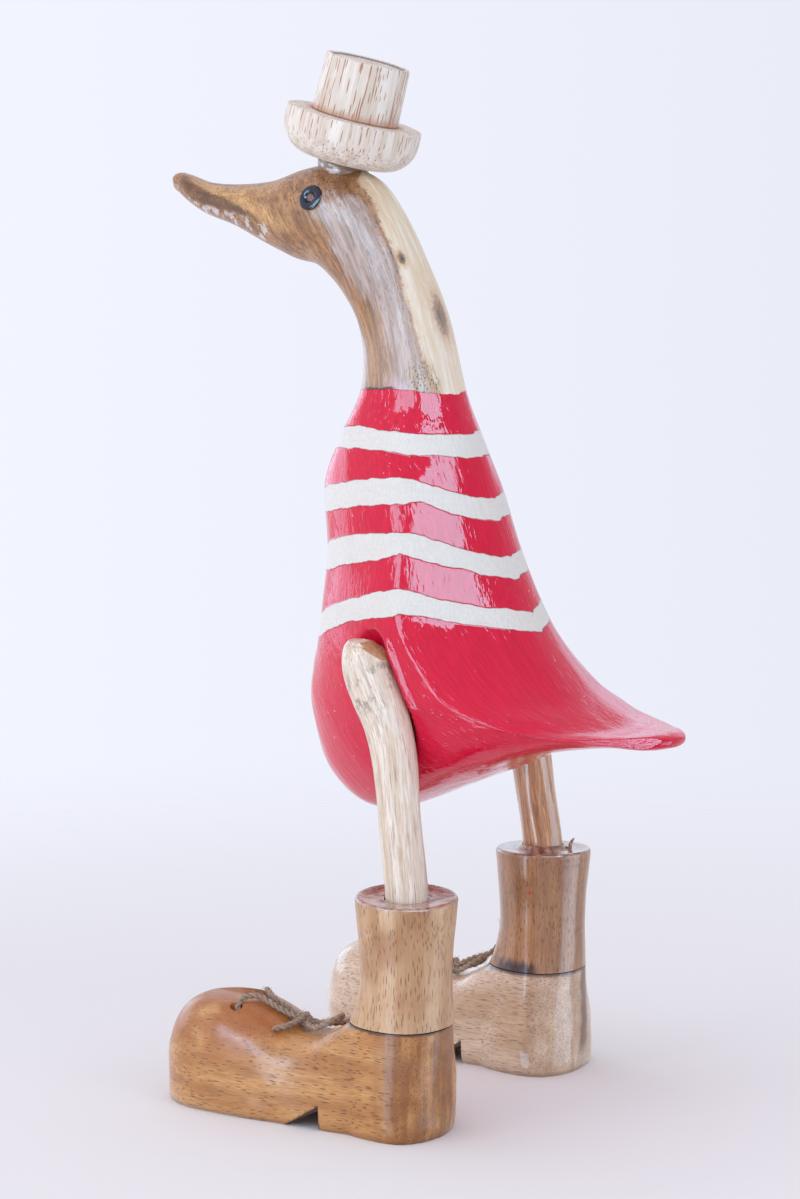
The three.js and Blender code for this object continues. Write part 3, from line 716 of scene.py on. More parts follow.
# Hat and the glue under it
hat = {
    "foot": (0, -60.2, 362.4),
    "tilt": 16.5,
    "brim": 26.7,
    "brimHeight": 17.4,
    "under": 12,  # how far the brim is rounded below
    "crown": 17.1,
    "crownTop": 16.5,
    "crownHeight": 22.5,
    "hollow": 1.2,
    "sides": 144,
}
hatLook = {
    "dark": rgb(212, 201, 184), "light": rgb(238, 234, 226), "line": rgb(204, 180, 152), "fibre": 0.25,
    "band": 0.22, "mottle": 0.25, "blotch": rgb(216, 194, 174), "stain": 0.12,
    "stainColour": rgb(206, 176, 150), "rough": 0.5, "coat": 0.0, "coatRough": 0.2, "specular": 0.4,
    "lumps": 0.02,
    "pores": {"apart": 1.0, "length": 11.0, "wide": 0.3, "share": 0.95, "strength": 0.85,
              "colour": rgb(176, 112, 80)},
    "streaks": {"apart": 1.3, "length": 1.0, "wide": 0.3, "share": 0.75, "bend": 0.2, "endless": True},
    "streak": rgb(170, 106, 70), "soaked": rgb(196, 140, 102), "groove": rgb(110, 74, 56),
    # painted grey shade and sheen on the crown's hollow top, and a painted shadow in its inner corner
    "hollowShadeAndSheen": rgb(150, 128, 122), "hollowCornerShadow": rgb(92, 66, 58),
}


def placeHat(points):
    a = math.radians(hat["tilt"])
    x, y, z = np.asarray(points, float).T
    turned = np.column_stack([x, y * math.cos(a) + z * math.sin(a), z * math.cos(a) - y * math.sin(a)])
    return turned + hat["foot"]


def lathe(profile, turns, wobble=0.0):
    wide = 1 + wobble * np.sin(2 * circle(turns) + 0.6)
    ring = hoop((1, 0, 0), (0, 1, 0), turns) * wide[:, None]
    return np.array([r * ring + (0, 0, h) for r, h in profile])


def rounded(corners, radii, steps=6):  # a profile with its corners rounded
    made = []
    for i, (corner, radius) in enumerate(zip(corners, radii)):
        corner = np.array(corner, float)
        if radius == 0 or i in (0, len(corners) - 1):
            made.append(corner)
            continue
        before = np.array(corners[i - 1]) - corner
        after = np.array(corners[i + 1]) - corner
        a = corner + before / np.linalg.norm(before) * radius
        b = corner + after / np.linalg.norm(after) * radius
        for s in np.linspace(0, 1, steps):
            made.append((1 - s) ** 2 * a + 2 * s * (1 - s) * corner + s * s * b)
    return np.array(made)


def evenly(profile, step):  # extra points along a profile
    made = [profile[0]]
    for a, b in zip(profile[:-1], profile[1:]):
        count = max(1, int(np.linalg.norm(b - a) / step))
        made += [a + (b - a) * (n + 1) / count for n in range(count)]
    return np.array(made)


def hatStains(pot, grain, wood, height, rough, coat):
    look, high, groove = hatLook, pot.part(grain, 2), pot.mark("groove")
    brim, top = hat["brimHeight"], hat["brimHeight"] + hat["crownHeight"]
    streaks = pot.dashes(grain, look["streaks"]) * pot.drawn(grain, (0.9, 0.9, 0.07), 2).rise(0.38, 0.46)
    edge = groove + (pot.cloud(grain, 2.0, 3) - 0.5) * 2.4
    out = pot.vector("LENGTH", pot.vector("MULTIPLY", grain, (1, 1, 0)))
    # painted shade and sheen on the hollow top, with a painted shadow round its inner corner
    hollowShadeAndSheen = high.rise(top - 1.4, top - 1.0) * out.rise(hat["crownTop"] - 1.6, hat["crownTop"] - 2.4)
    wood = pot.layers(wood, look, [
        (streaks * (0.3 + high.rise(brim - 2, brim + 2) * 0.6), "streak"),
        (edge.rise(3.4, 0.8) * 0.6, "soaked"),
        (groove.rise(0.7, 0.2) * 0.6, "groove"),
        (hollowShadeAndSheen * 0.25, "hollowShadeAndSheen"),
        (hollowShadeAndSheen * out.rise(hat["crownTop"] - 4.2, hat["crownTop"] - 3.4) * 0.7, "hollowCornerShadow"),
    ])
    return wood, height, rough, coat


def makeHat():
    r, h, under, crown, edge = (hat[key] for key in ("brim", "brimHeight", "under", "crown", "crownTop"))
    top = h + hat["crownHeight"]
    below = [(r - under + under * math.sin(a), under - under * math.cos(a))
             for a in np.linspace(0, np.pi / 2, 20)]
    corners = [(r, under), (r, h), (crown + 0.35, h), (crown - 0.15, h - 0.2), (crown, h + 0.6),
               (edge, top), (edge - 4, top - hat["hollow"]), (0.02, top - hat["hollow"])]
    rim = rounded(corners, (0, 0.9, 0.2, 0.2, 0.3, 1.3, 1.2, 0))
    profile = evenly(np.vstack([[(0.02, 0)], below, rim[1:]]), 0.9)
    rings = lathe(profile, hat["sides"], 0.004)
    nudge = grain3(rings.reshape(-1, 3), 5.0, 2.0).reshape(rings.shape[:2]) * 0.06
    local = capped(rings * (1 - np.abs(nudge) / 26)[:, :, None])
    groove = np.abs(np.linalg.norm(local[:, :2], axis=1) - crown) + np.abs(local[:, 2] - h)
    marks = {"grain": local, "groove": groove}
    mesh = plainMesh("woodHat", placeHat(local), ringFaces(len(rings), hat["sides"]), marks)
    piece("woodHat", mesh, woodFinish("turnedHat", hatLook, hatStains), ["hat"], 42)


glue = {
    "sides": 72,
    "profile": [  # radius, height
        (0.02, -6.2), (5, -6.0), (8.6, -5.0), (10.0, -3.2), (9.9, -1.6), (9.0, -0.2), (6, 0.1), (0.02, 0.1),
    ],
    "cloudy": rgb(150, 128, 112),
    "clear": rgb(214, 208, 208),
}


def makeGlue():
    profile = through(glue["profile"], np.linspace(0, len(glue["profile"]) - 1, 40))
    profile[:, 0] = np.maximum(profile[:, 0], 0.02)
    rings = lathe(profile, glue["sides"])
    lump = grain3(rings.reshape(-1, 3) * (1, 1, 0.6), 6.0, 7.0).reshape(rings.shape[:2]) * 0.9
    rings[:, :, :2] *= (1 + lump / 12)[:, :, None]
    pot = Pot("setGlue")
    where = pot.mark("grain", "Vector")
    colour = pot.mix(pot.cloud(where, 5.0, 3).rise(0.56, 0.62), glue["cloudy"], glue["clear"])
    soft = {"Subsurface Weight": 0.3, "Subsurface Radius": (0.003, 0.002, 0.0015), "Coat Weight": 0.25}
    finish = pot.finish(colour, 0.24, pot.cloud(where, 3.0, 2) * 0.3, soft)
    local = capped(rings)
    mesh = plainMesh("hatGlue", placeHat(local), ringFaces(len(rings), glue["sides"]), {"grain": local})
    piece("hatGlue", mesh, finish, ["hat_glue"])


# Legs
legLooks = {
    "left": {
        "dark": rgb(214, 197, 172), "light": rgb(242, 234, 222), "line": rgb(184, 146, 112), "fibre": 0.6,
        "band": 0.36, "mottle": 0.25, "blotch": rgb(236, 220, 198), "stain": 0.25,
        "stainColour": rgb(200, 178, 156), "rough": 0.4, "coat": 0.2, "coatRough": 0.2, "specular": 0.3,
        "lumps": 0.06,
        "pores": {"apart": 0.75, "length": 24.0, "wide": 0.26, "share": 0.5, "strength": 0.6,
                  "colour": rgb(164, 104, 74)},
    },
    "right": {
        "dark": rgb(180, 124, 72), "light": rgb(232, 190, 142), "line": rgb(112, 68, 42), "fibre": 0.6,
        "band": 0.36, "mottle": 0.3, "blotch": rgb(206, 146, 88), "stain": 0.2,
        "stainColour": rgb(146, 92, 54), "rough": 0.22, "coat": 0.8, "coatRough": 0.06, "specular": 0.3,
        "lumps": 0.06,
        "pores": {"apart": 0.8, "length": 16.0, "wide": 0.28, "share": 0.5, "strength": 0.6,
                  "colour": rgb(96, 58, 38)},
    },
}


def legEnd(pot, grain, wood, height, rough, coat):  # the sawn face, and bark left under it
    face = pot.mark("sawn").rise(-0.25, -0.05)
    sawn = pot.mix(pot.cloud(grain, 1.2, 4).rise(0.35, 0.65), stick["sawn"], stick["sawnLight"])
    high = pot.part(grain, 2)
    bark = high.rise(150, 160) * high.rise(174, 168) * pot.cloud(grain, 7.0, 3).rise(0.44, 0.56)
    bark = bark * pot.drawn(grain, (1, 1, 0.4), 4, 0.7, 1.3).rise(0.44, 0.56)
    wood = pot.mix(bark * 0.65, wood, stick["bark"])
    return pot.mix(face * 0.9, wood, sawn), height, rough, coat


def makeLeg(name, side):
    last = len(stick["line"]) - 1
    t = np.linspace(0, last, stick["rings"])
    middle, radius = legRows(side, t)
    ahead = unit(legRows(side, np.minimum(t + 0.05, last))[0] - legRows(side, np.maximum(t - 0.05, 0))[0])
    rings, local = [], []
    for c, r, a in zip(middle, radius, ahead):
        across = unit(np.cross([0, 1.0, 0], a))
        rings.append(c + r * hoop(across, np.cross(a, across), stick["sides"]))
        local.append(r * hoop((1, 0, 0), (0, 1, 0), stick["sides"]) + (0, 0, c[2]))
    points, local = capped(rings), capped(local)
    lumps = grain3(local * (1, 1, 0.22), 5.0, 3.0 * side["sign"]) * 0.28
    lumps += grain3(local * (1, 1, 0.5), 12.0, 9.0) * 0.25
    centre = capped(np.repeat(middle[:, None], stick["sides"], 1))
    points = points + (points - centre) / 8.5 * (lumps - 0.3)[:, None]
    mesh = plainMesh("leg", points, ringFaces(stick["rings"], stick["sides"]), {"grain": local})
    slope = math.radians(stick["sawSlope"])
    sawMiddle = np.array([side["hip"][0], side["hip"][1] + stick["sawBehind"], stick["sawHeight"]])
    normal = (0, math.sin(slope), math.cos(slope))
    work = bmesh.new()
    work.from_mesh(mesh)
    bmesh.ops.edgeloop_fill(work, edges=sliceOff(work, sawMiddle, normal))
    work.to_mesh(mesh)
    work.free()
    addMarks(mesh, {"sawn": (pointsOf(mesh) - sawMiddle) @ np.array(normal)})
    finish = woodFinish(name + "LegWood", legLooks[name], legEnd)
    piece(name + "Leg", mesh, finish, [f"leg_{name}"], 40)


# Boots
boot = {
    "top": 89.3, "joint": 41, "leanTo": 33, "turns": 128,
    "toe": {"start": 74, "end": 105, "half": 23.5, "height": 43.5, "wall": 20,
            "steps": (0, 0.25, 0.5, 0.7, 0.85, 0.94, 0.985)},
    "notch": {"back": -27, "height": 9.5, "length": 16.5},
    "ankle": [  # height, half width, front, back, squareness
        (0, 18.6, 26, 14.8, 2.4), (2.2, 20.4, 28, 16.5, 2.4), (14, 20.6, 28, 16.8, 2.4),
        (28, 19.6, 26, 16.8, 2.3), (41, 18.2, 22, 16.8, 2.2), (47.5, 17.6, 19.4, 17, 2.1),
        (57.5, 17.2, 17.6, 17.1, 2), (71, 17.6, 17.9, 17.5, 2), (83, 18.8, 18.9, 18.8, 2),
        (89.3, 19.2, 19.3, 19.2, 2),
    ],
    "collar": [  # the glue on top: share of the rim, depth below it, and how far the glue stands up
        (0.95, 0.05, 0), (0.9, 0.1, 0), (0.8, 0.3, 0), (0.7, 0.5, 0), (0.62, 0.65, 0.05), (0.565, 0.7, 0.3),
        (0.53, 0.75, 0.8), (0.5, 0.8, 1.4), (0.47, 0.9, 2.0), (0.45, 1.1, 2.5), (0.435, 1.5, 2.3),
        (0.43, 8.0, 0),
    ],
    "splinter": [(-6, 9, -1.5), (-6, 9, 1), (-6.3, 9.6, 2.4), (-6.9, 10.4, 3.6)],
    "instep": [  # ahead of the ankle, half width, height, squareness
        (4, 17.5, 40.2, 5), (14, 19.2, 40.3, 5), (24, 19.8, 38.4, 3.6), (34, 20.1, 33.6, 2.8),
        (44, 21.1, 32.4, 2.5), (56, 22.6, 37.4, 2.4), (66, 23.3, 41.5, 2.3),
    ],
}
laceRoutes = {  # outward, ahead, and height over the boot
    "outerStrand": [(11.5, -70, -9), (11, -70, -1.5), (7, -69.5, 1.8), (3, -65, 1.8), (2.2, -57, 1.8),
                    (1.2, -49, 2.6)],
    "innerStrand": [(-11.5, -70, -9), (-11, -70, -1.5), (-7, -69, 1.8), (-2.4, -63, 1.8), (-2, -56, 1.8),
                    (-1, -49, 2.6)],
    "loop": [(0.5, -46, 3), (-4, -39.5, 2.4), (-4.4, -33, 3.4), (0, -29.5, 4), (4.6, -33, 3.4),
             (4.2, -39, 2.4), (0, -46, 3)],
    "outerEnd": [(0, -47, 3.1), (5, -47.5, 2.5), (9.5, -49.5, 1.9), (13, -52, 1.9)],
    "innerEnd": [(0, -47, 3.1), (-5, -43.5, 2.2), (-9, -37.5, 2.0), (-11.5, -31, 2.2)],
}
standingEnd = [(0, -47, 3.1), (-2.5, -41, 4.5), (-2, -34, 5.5), (1, -27, 4.5), (4, -22.6, 8),
               (3.6, -22.4, 15)]


def ankleRing(z, side, turns):
    heights = [row[0] for row in boot["ankle"]]
    t = np.interp(z, heights, range(len(heights)))
    half, front, back, square = through(boot["ankle"], t)[0, 1:]
    swell = 1 + (side["heel"] - 1) * max(0, 1 - z / boot["joint"])
    out, up = (np.sign(c) * np.abs(c) ** (2 / square) for c in hoop((1, 0), (0, 1), turns).T)
    return half * swell * out, np.where(up > 0, back * swell, front) * up


def shaftMesh(side):
    turns, top = boot["turns"], boot["top"]
    tilt, way = math.tan(math.radians(side["lean"])), math.radians(boot["leanTo"])
    rings = []
    for z in [*np.linspace(boot["joint"] + 0.4, top - 1.4, 60), top - 0.8, top - 0.4, top - 0.15]:
        x, y = ankleRing(z, side, turns)
        pull = 1 - max(0, z - top + 1.4) ** 2 * 0.02
        rings.append((x * pull, y * pull, z))
    x, y = ankleRing(top, side, turns)
    for share, down, up in boot["collar"]:
        rings.append((x * share, y * share, top - down + up * side["collar"]))
    points = []
    for x, y, z in rings:
        over = max(0, (z - 71) / (top - 71))
        points.append(np.column_stack([x, y, z - tilt * over * (x * math.cos(way) + y * math.sin(way))]))
    local = capped(points)
    faces = ringFaces(len(points), turns)
    if side["sign"] < 0:
        splinter, flat, _ = tube(np.array(boot["splinter"]) + (0, 0, top), [0.9, 0.75, 0.6, 0.2], 7)
        faces += [[i + len(local) for i in face] for face in flat]
        local = np.vstack([local, splinter])
    middle = np.linalg.norm(local[:, :2], axis=1)
    wall = (middle > 15.5) & (local[:, 2] < top - 2)
    local[:, :2] *= (1 + wall * grain3(local, 15.0, 4.0 * side["sign"]) * 0.008)[:, None]
    level = local[:, 2] + tilt * 0.97 * (local[:, 0] * math.cos(way) + local[:, 1] * math.sin(way))
    glued = smooth(top - 1.8, top - 1.1, level) * smooth(19.6, 18.3, middle)
    return plainMesh("shaft", local + side["foot"], faces, {"grain": local, "top": glued})


def toeRings(side, turns):
    toe = boot["toe"]
    rows = [list(row) for row in boot["instep"]]
    for t in toe["steps"]:
        plan = (1 - t ** 2.6) ** (1 / 2.6)
        rows.append([toe["start"] + (toe["end"] - toe["start"]) * t, toe["half"] * plan,
                     toe["wall"] + (toe["height"] - toe["wall"]) * plan, 2.3])
    rings = []
    up, out = np.sin(circle(turns)), np.cos(circle(turns))
    for ahead, half, height, square in through(rows, np.linspace(0, len(rows) - 1, 90)):
        middle = min(height * 0.36, 15)
        wide = np.abs(out) ** np.where(up > 0, 2 / (square + 0.2), 2 / 7)
        rise = (height - middle) * np.abs(up) ** (2 / square)
        z = middle + np.where(up > 0, rise, -(middle + 2.5) * np.abs(up) ** (2 / 5))
        stretch = ahead if ahead < 30 else 30 + (ahead - 30) * (side["reach"] - 30) / (toe["end"] - 30)
        rings.append(np.column_stack([half * np.sign(out) * wide, np.full(turns, -stretch), z]))
    return rings


def evaluated(holder):
    return bpy.data.meshes.new_from_object(holder.evaluated_get(bpy.context.evaluated_depsgraph_get()))


def calm(points, edges, times, weight):  # evens out a mesh
    for _ in range(times):
        total = np.zeros_like(points)
        count = np.zeros(len(points))
        np.add.at(total, edges[:, 0], points[edges[:, 1]])
        np.add.at(total, edges[:, 1], points[edges[:, 0]])
        np.add.at(count, edges.ravel(), 1)
        points = points + (total / count[:, None] - points) * weight[:, None]
    return points


def fusedFoot(side):  # heel and front run into one another
    turns = 96
    heel = []
    for z in np.concatenate([[-2.5], np.linspace(0, 44, 26)]):
        x, y = ankleRing(max(z, 0.8), side, turns)
        heel.append(np.column_stack([x, y, np.full(turns, z)]))
    toe = toeRings(side, turns)
    points = np.vstack([capped(heel), capped(toe)])
    faces = ringFaces(len(heel), turns) + ringFaces(len(toe), turns, len(capped(heel)))
    holder = newObject("foot", plainMesh("foot", points, faces))
    remesh = holder.modifiers.new("remesh", "REMESH")
    remesh.mode = "VOXEL"
    remesh.voxel_size = 0.00095
    fused = evaluated(holder)
    holder.modifiers.clear()
    points = pointsOf(fused)
    edges = np.array([e.vertices[:] for e in fused.edges])
    blend = smooth(-4, -20, points[:, 1]) * smooth(-62, -44, points[:, 1]) * smooth(1, 6, points[:, 2])
    points = calm(points, edges, 3, np.full(len(points), 0.5))
    points = calm(points, edges, 26, 0.5 * blend)
    setPoints(fused, points + cutMarks(points, side) + side["foot"])
    holder.data = fused
    return holder


def footMesh(side):
    holder = fusedFoot(side)
    # the notch between heel and front, then the flat sole and the joint
    notch = boot["notch"]
    outline = ((notch["back"], -4), (notch["back"] + 0.2, notch["height"]),
               (notch["back"] - notch["length"] * 1.3, -4))
    wedge = np.array([(x, y, z) for x in (-30, 30) for y, z in outline]) + side["foot"]
    wedgeFaces = [[0, 1, 2], [3, 5, 4], [0, 3, 4, 1], [1, 4, 5, 2], [2, 5, 3, 0]]
    tool = newObject("wedge", plainMesh("wedge", wedge, wedgeFaces))
    cut = holder.modifiers.new("notch", "BOOLEAN")
    cut.operation, cut.object, cut.solver = "DIFFERENCE", tool, "EXACT"
    bpy.context.view_layer.update()
    done = evaluated(holder)
    bpy.data.objects.remove(tool)
    bpy.data.objects.remove(holder)
    work = bmesh.new()
    work.from_mesh(done)
    for height, way in ((0.02, -1), (boot["joint"], 1)):
        bmesh.ops.holes_fill(work, edges=sliceOff(work, (0, 0, height), (0, 0, way)), sides=0)
    work.to_mesh(done)
    work.free()
    return done


def cutMarks(points, side):  # rasp and knife marks, stronger low down
    low = smooth(8, 0, points[:, 2])
    lump = grain3(points, 13.0, 2.0 * side["sign"]) * 0.35 + grain3(points, 3.0, 8.0) * 0.12 * (0.3 + low)
    return unit(points - [0, -45, 18]) * (lump - 0.3)[:, None]


def layRoutes(foot, side):
    tree = BVHTree.FromPolygons([v.co for v in foot.vertices], [p.vertices[:] for p in foot.polygons])
    laid = {}
    routes = dict(laceRoutes)
    if side["sign"] < 0:
        routes["innerEnd"] = standingEnd
    for name, route in routes.items():
        points = []
        for out, ahead, over in through(route, np.linspace(0, len(route) - 1, 4 * len(route))):
            x, y = out * side["sign"], ahead * side["reach"] / boot["toe"]["end"]
            above = Vector(metres(np.array([x, y, 90]) + side["foot"]))
            hit = tree.ray_cast(above, Vector((0, 0, -1)))[0]
            points.append((x, y, hit.z * 1000 + over))
        laid[name] = np.array(points) + side["foot"]
    return laid


def pressHoles(foot, laid):  # each strand goes down into its hole
    points = pointsOf(foot)
    rim = np.full(len(points), 9.0)
    for name in ("outerStrand", "innerStrand"):
        mouth = laid[name][3]
        away = np.linalg.norm(points[:, :2] - mouth[:2], axis=1)
        near = (away < 6) & (points[:, 2] > 25)
        rim[near] = np.minimum(rim[near], away[near])
        points[near, 2] -= 3.2 * smooth(2.3, 1.5, away[near])
    setPoints(foot, points)
    return rim


def markFoot(foot, side, rim):
    points = pointsOf(foot) - side["foot"]
    notch = boot["notch"]
    slant = np.array([notch["length"] * 1.3 + 0.2, notch["height"] + 4])
    across = (points[:, 1] - notch["back"] - 0.2) * slant[1] - (points[:, 2] - notch["height"]) * slant[0]
    upright = np.abs(points[:, 1] - notch["back"]) < 0.3
    sloping = np.abs(across) < 0.15 * np.linalg.norm(slant)
    cut = (points[:, 2] < notch["height"] + 0.2) & (upright | sloping)
    addMarks(foot, {"grain": points[:, [0, 2, 1]], "rim": rim, "high": points[:, 2], "ahead": -points[:, 1],
                    "cut": cut})


twine = {
    "plies": 2,
    "ply": 0.66,
    "plySides": 9,
    "offset": 0.54,
    "pitch": 5.2,
    "hairs": 70,  # on 40 mm
    "dark": rgb(112, 84, 62), "light": rgb(190, 162, 134), "bleached": rgb(186, 168, 150),
}


def twinePot():
    pot = Pot("juteTwine")
    where = pot.mark("grain", "Vector")
    fibre = pot.drawn(where, (4.0, 4.0, 0.5), 4, 0.6)
    colour = pot.mix(fibre.rise(0.3, 0.7), twine["dark"], twine["light"])
    colour = pot.mix(pot.cloud(where, 6.0, 3).rise(0.5, 0.7) * 0.5, colour, twine["bleached"])
    return pot.finish(colour, 0.8, fibre * 0.1, {"Sheen Weight": 0.2})


def evenPath(points, step):
    gap = runLength(points)
    where = np.linspace(0, gap[-1], max(4, int(gap[-1] / step)))
    return np.column_stack([np.interp(where, gap, points[:, k]) for k in range(3)]), where


def twisted(route, seed):  # plies wound round a route, and loose hairs
    path, run = evenPath(route, 0.42)
    _, _, frames = tube(path, 1, 3)
    rng = np.random.default_rng(seed)
    strands, spots = [], []
    once = np.linspace(0, 6, twine["plySides"], endpoint=False)
    for k in range(twine["plies"]):
        turn = run / twine["pitch"] * 2 * np.pi + k * 2 * np.pi / twine["plies"] + seed
        ply = [c + twine["offset"] * (math.cos(a) * u + math.sin(a) * w)
               for c, a, (u, w) in zip(path, turn, frames)]
        wide = twine["ply"] * (1 + 0.08 * np.sin(run * 1.3 + k * 2) + 0.05 * np.sin(run * 3.1 + seed))
        wide[[0, -1]] *= 0.55
        points, faces, _ = tube(ply, wide, twine["plySides"])
        strands.append((points, faces))
        around = np.append(np.tile(once, len(path)), [0, 0])
        along = np.append(np.repeat(run, twine["plySides"]), [run[0], run[-1]])
        spots.append(np.column_stack([around, np.full(len(points), k * 7.0 + seed), along]))
    for _ in range(int(twine["hairs"] * run[-1] / 40)):
        i = rng.integers(2, len(path) - 2)
        u, w = frames[i]
        a, size = rng.uniform(0, 2 * np.pi), rng.uniform(1.2, 3.2)
        out = math.cos(a) * u + math.sin(a) * w
        ahead = unit(path[i + 1] - path[i - 1]) * rng.choice([-1, 1])
        start = path[i] + out * 1.25
        curl = np.cross(out, ahead) * rng.uniform(-0.6, 0.6)
        hair = [start + s * size * (ahead * 0.8 + out * 0.35 * s + curl * s) for s in np.linspace(0, 1, 5)]
        points, faces, _ = tube(hair, [0.09, 0.08, 0.07, 0.05, 0.02], 3)
        strands.append((points, faces))
        spots.append(np.tile([1.0, seed + i, run[i]], (len(points), 1)))
    return strands, spots


def knotPath(centre):  # the twine wound round itself
    u = np.linspace(0, 2 * np.pi, 90)
    wide = 1.9 + 0.9 * np.cos(3 * u)
    x, y = wide * np.cos(2 * u) * 0.95, wide * np.sin(2 * u) * 0.8
    return np.column_stack([x, y, 0.95 * np.sin(3 * u)]) + centre


def makeLace(name, side, laid, material):
    knot = laid["outerEnd"][0] + [0, 0, 0.2]
    firstSeed = 3 if side["sign"] > 0 else 11
    points, faces, grain = [], [], []
    start = 0
    for seed, cord in enumerate([*laid.values(), knotPath(knot)], firstSeed):
        for (some, flat), spots in zip(*twisted(cord, seed)):
            points.append(some)
            faces += [[i + start for i in face] for face in flat]
            grain.append(spots)
            start += len(some)
    mesh = plainMesh("lace", np.vstack(points), faces, {"grain": np.vstack(grain)})
    piece(name + "Lace", mesh, material, [f"lace_{name}"])


shaftLooks = {
    "left": {
        "dark": rgb(186, 145, 106), "light": rgb(214, 180, 142), "line": rgb(162, 121, 86), "fibre": 0.35,
        "band": 0.12, "mottle": 0.4, "blotch": rgb(200, 152, 106), "stain": 0.55,
        "stainColour": rgb(158, 104, 62), "rough": 0.4, "coat": 0.22, "coatRough": 0.24, "specular": 0.25,
        "lumps": 0.07,
        "pores": {"apart": 0.72, "length": 6.5, "wide": 0.32, "share": 0.9, "strength": 0.65,
                  "colour": rgb(108, 70, 48)},
    },
    "right": {
        "dark": rgb(154, 110, 74), "light": rgb(194, 148, 106), "line": rgb(120, 82, 54), "fibre": 0.4,
        "band": 0.14, "mottle": 0.4, "blotch": rgb(178, 126, 78), "stain": 0.3,
        "stainColour": rgb(128, 88, 60), "rough": 0.3, "coat": 0.7, "coatRough": 0.16, "specular": 0.25,
        "lumps": 0.16,
        "pores": {"apart": 0.75, "length": 3.6, "wide": 0.34, "share": 0.8, "strength": 0.55,
                  "colour": rgb(84, 54, 40)},
    },
}


bootMarks = {
    "glued": rgb(116, 68, 50), "gluedLight": rgb(186, 150, 128), "soaked": rgb(66, 50, 54),
    "speck": rgb(206, 44, 74), "speckAt": (16.9, 3.7, 74.0), "jointLine": rgb(52, 38, 36),
    # holeShade is painted shade in the lace holes
    "holeShade": rgb(48, 28, 18), "sole": rgb(120, 78, 48), "ripe": rgb(164, 92, 34), "streak": rgb(104, 72, 58),
    # notch is bare worn wood, painted dark as shade in the notch between heel and sole
    "notch": rgb(74, 48, 34),
}


def farMarks(pot, grain, wood):  # glue soaked in over the joint, and a speck of red
    x, y, z = (pot.part(grain, axis) for axis in range(3))
    ragged = (pot.drawn(grain, (0.6, 0.6, 0.15), 4) - 0.5) * 7.0
    soaked = (z + ragged).rise(boot["joint"] + 6.0, boot["joint"] + 2.0) * x.rise(6, 11)
    speck = pot.vector("LENGTH", pot.vector("SUBTRACT", grain, bootMarks["speckAt"]))
    return pot.layers(wood, bootMarks, [
        (soaked * y.rise(-16, -10) * y.rise(9, 4) * 0.95, "soaked"),
        (speck.rise(1.0, 0.6) * 0.9, "speck"),
    ])


def makeShaft(name, side):
    def soaked(pot, grain, wood, height, rough, coat):
        top = pot.mark("top")
        lumps = pot.cloud(grain, 3.0, 4).rise(0.35, 0.65)
        glued = pot.mix(lumps, bootMarks["glued"], bootMarks["gluedLight"])
        wood = pot.mix(top * 0.92, wood, glued)
        height = height * (1 - top) + pot.cloud(grain, 2.2, 3) * top * 0.22
        if name == "right":
            wood = farMarks(pot, grain, wood)
        return wood, height, rough * (1 - top) + 0.12 * top, coat * (1 - top) + top

    finish = woodFinish(name + "ShaftWood", shaftLooks[name], soaked)
    piece(name + "Shaft", shaftMesh(side), finish, [f"boot_shaft_{name}"], 50)


footLooks = {
    "left": {
        "dark": rgb(176, 120, 68), "light": rgb(214, 162, 102), "line": rgb(134, 86, 48), "fibre": 0.45,
        "band": 0.14, "mottle": 0.4, "blotch": rgb(202, 142, 74), "stain": 0.5,
        "stainColour": rgb(176, 112, 48), "rough": 0.4, "coat": 0.55, "coatRough": 0.22, "specular": 0.2,
        "lumps": 0.12, "joint": 1.3, "jointWander": 0.7, "heel": 0.6, "heelColour": rgb(118, 70, 38),
        "pores": {"apart": 0.78, "length": 6.0, "wide": 0.33, "share": 0.75, "strength": 0.65,
                  "colour": rgb(88, 52, 32)},
    },
    "right": {
        "dark": rgb(208, 180, 150), "light": rgb(232, 210, 184), "line": rgb(170, 132, 100), "fibre": 0.5,
        "band": 0.12, "mottle": 0.15, "blotch": rgb(214, 182, 148), "stain": 0.15,
        "stainColour": rgb(188, 146, 112), "rough": 0.32, "coat": 0.9, "coatRough": 0.12, "specular": 0.25,
        "lumps": 0.1, "joint": 1.9, "jointWander": 1.3, "heel": 0.25, "heelColour": rgb(130, 92, 66),
        "pores": {"apart": 0.74, "length": 6.0, "wide": 0.33, "share": 0.85, "strength": 0.55,
                  "colour": rgb(124, 90, 66)},
    },
}


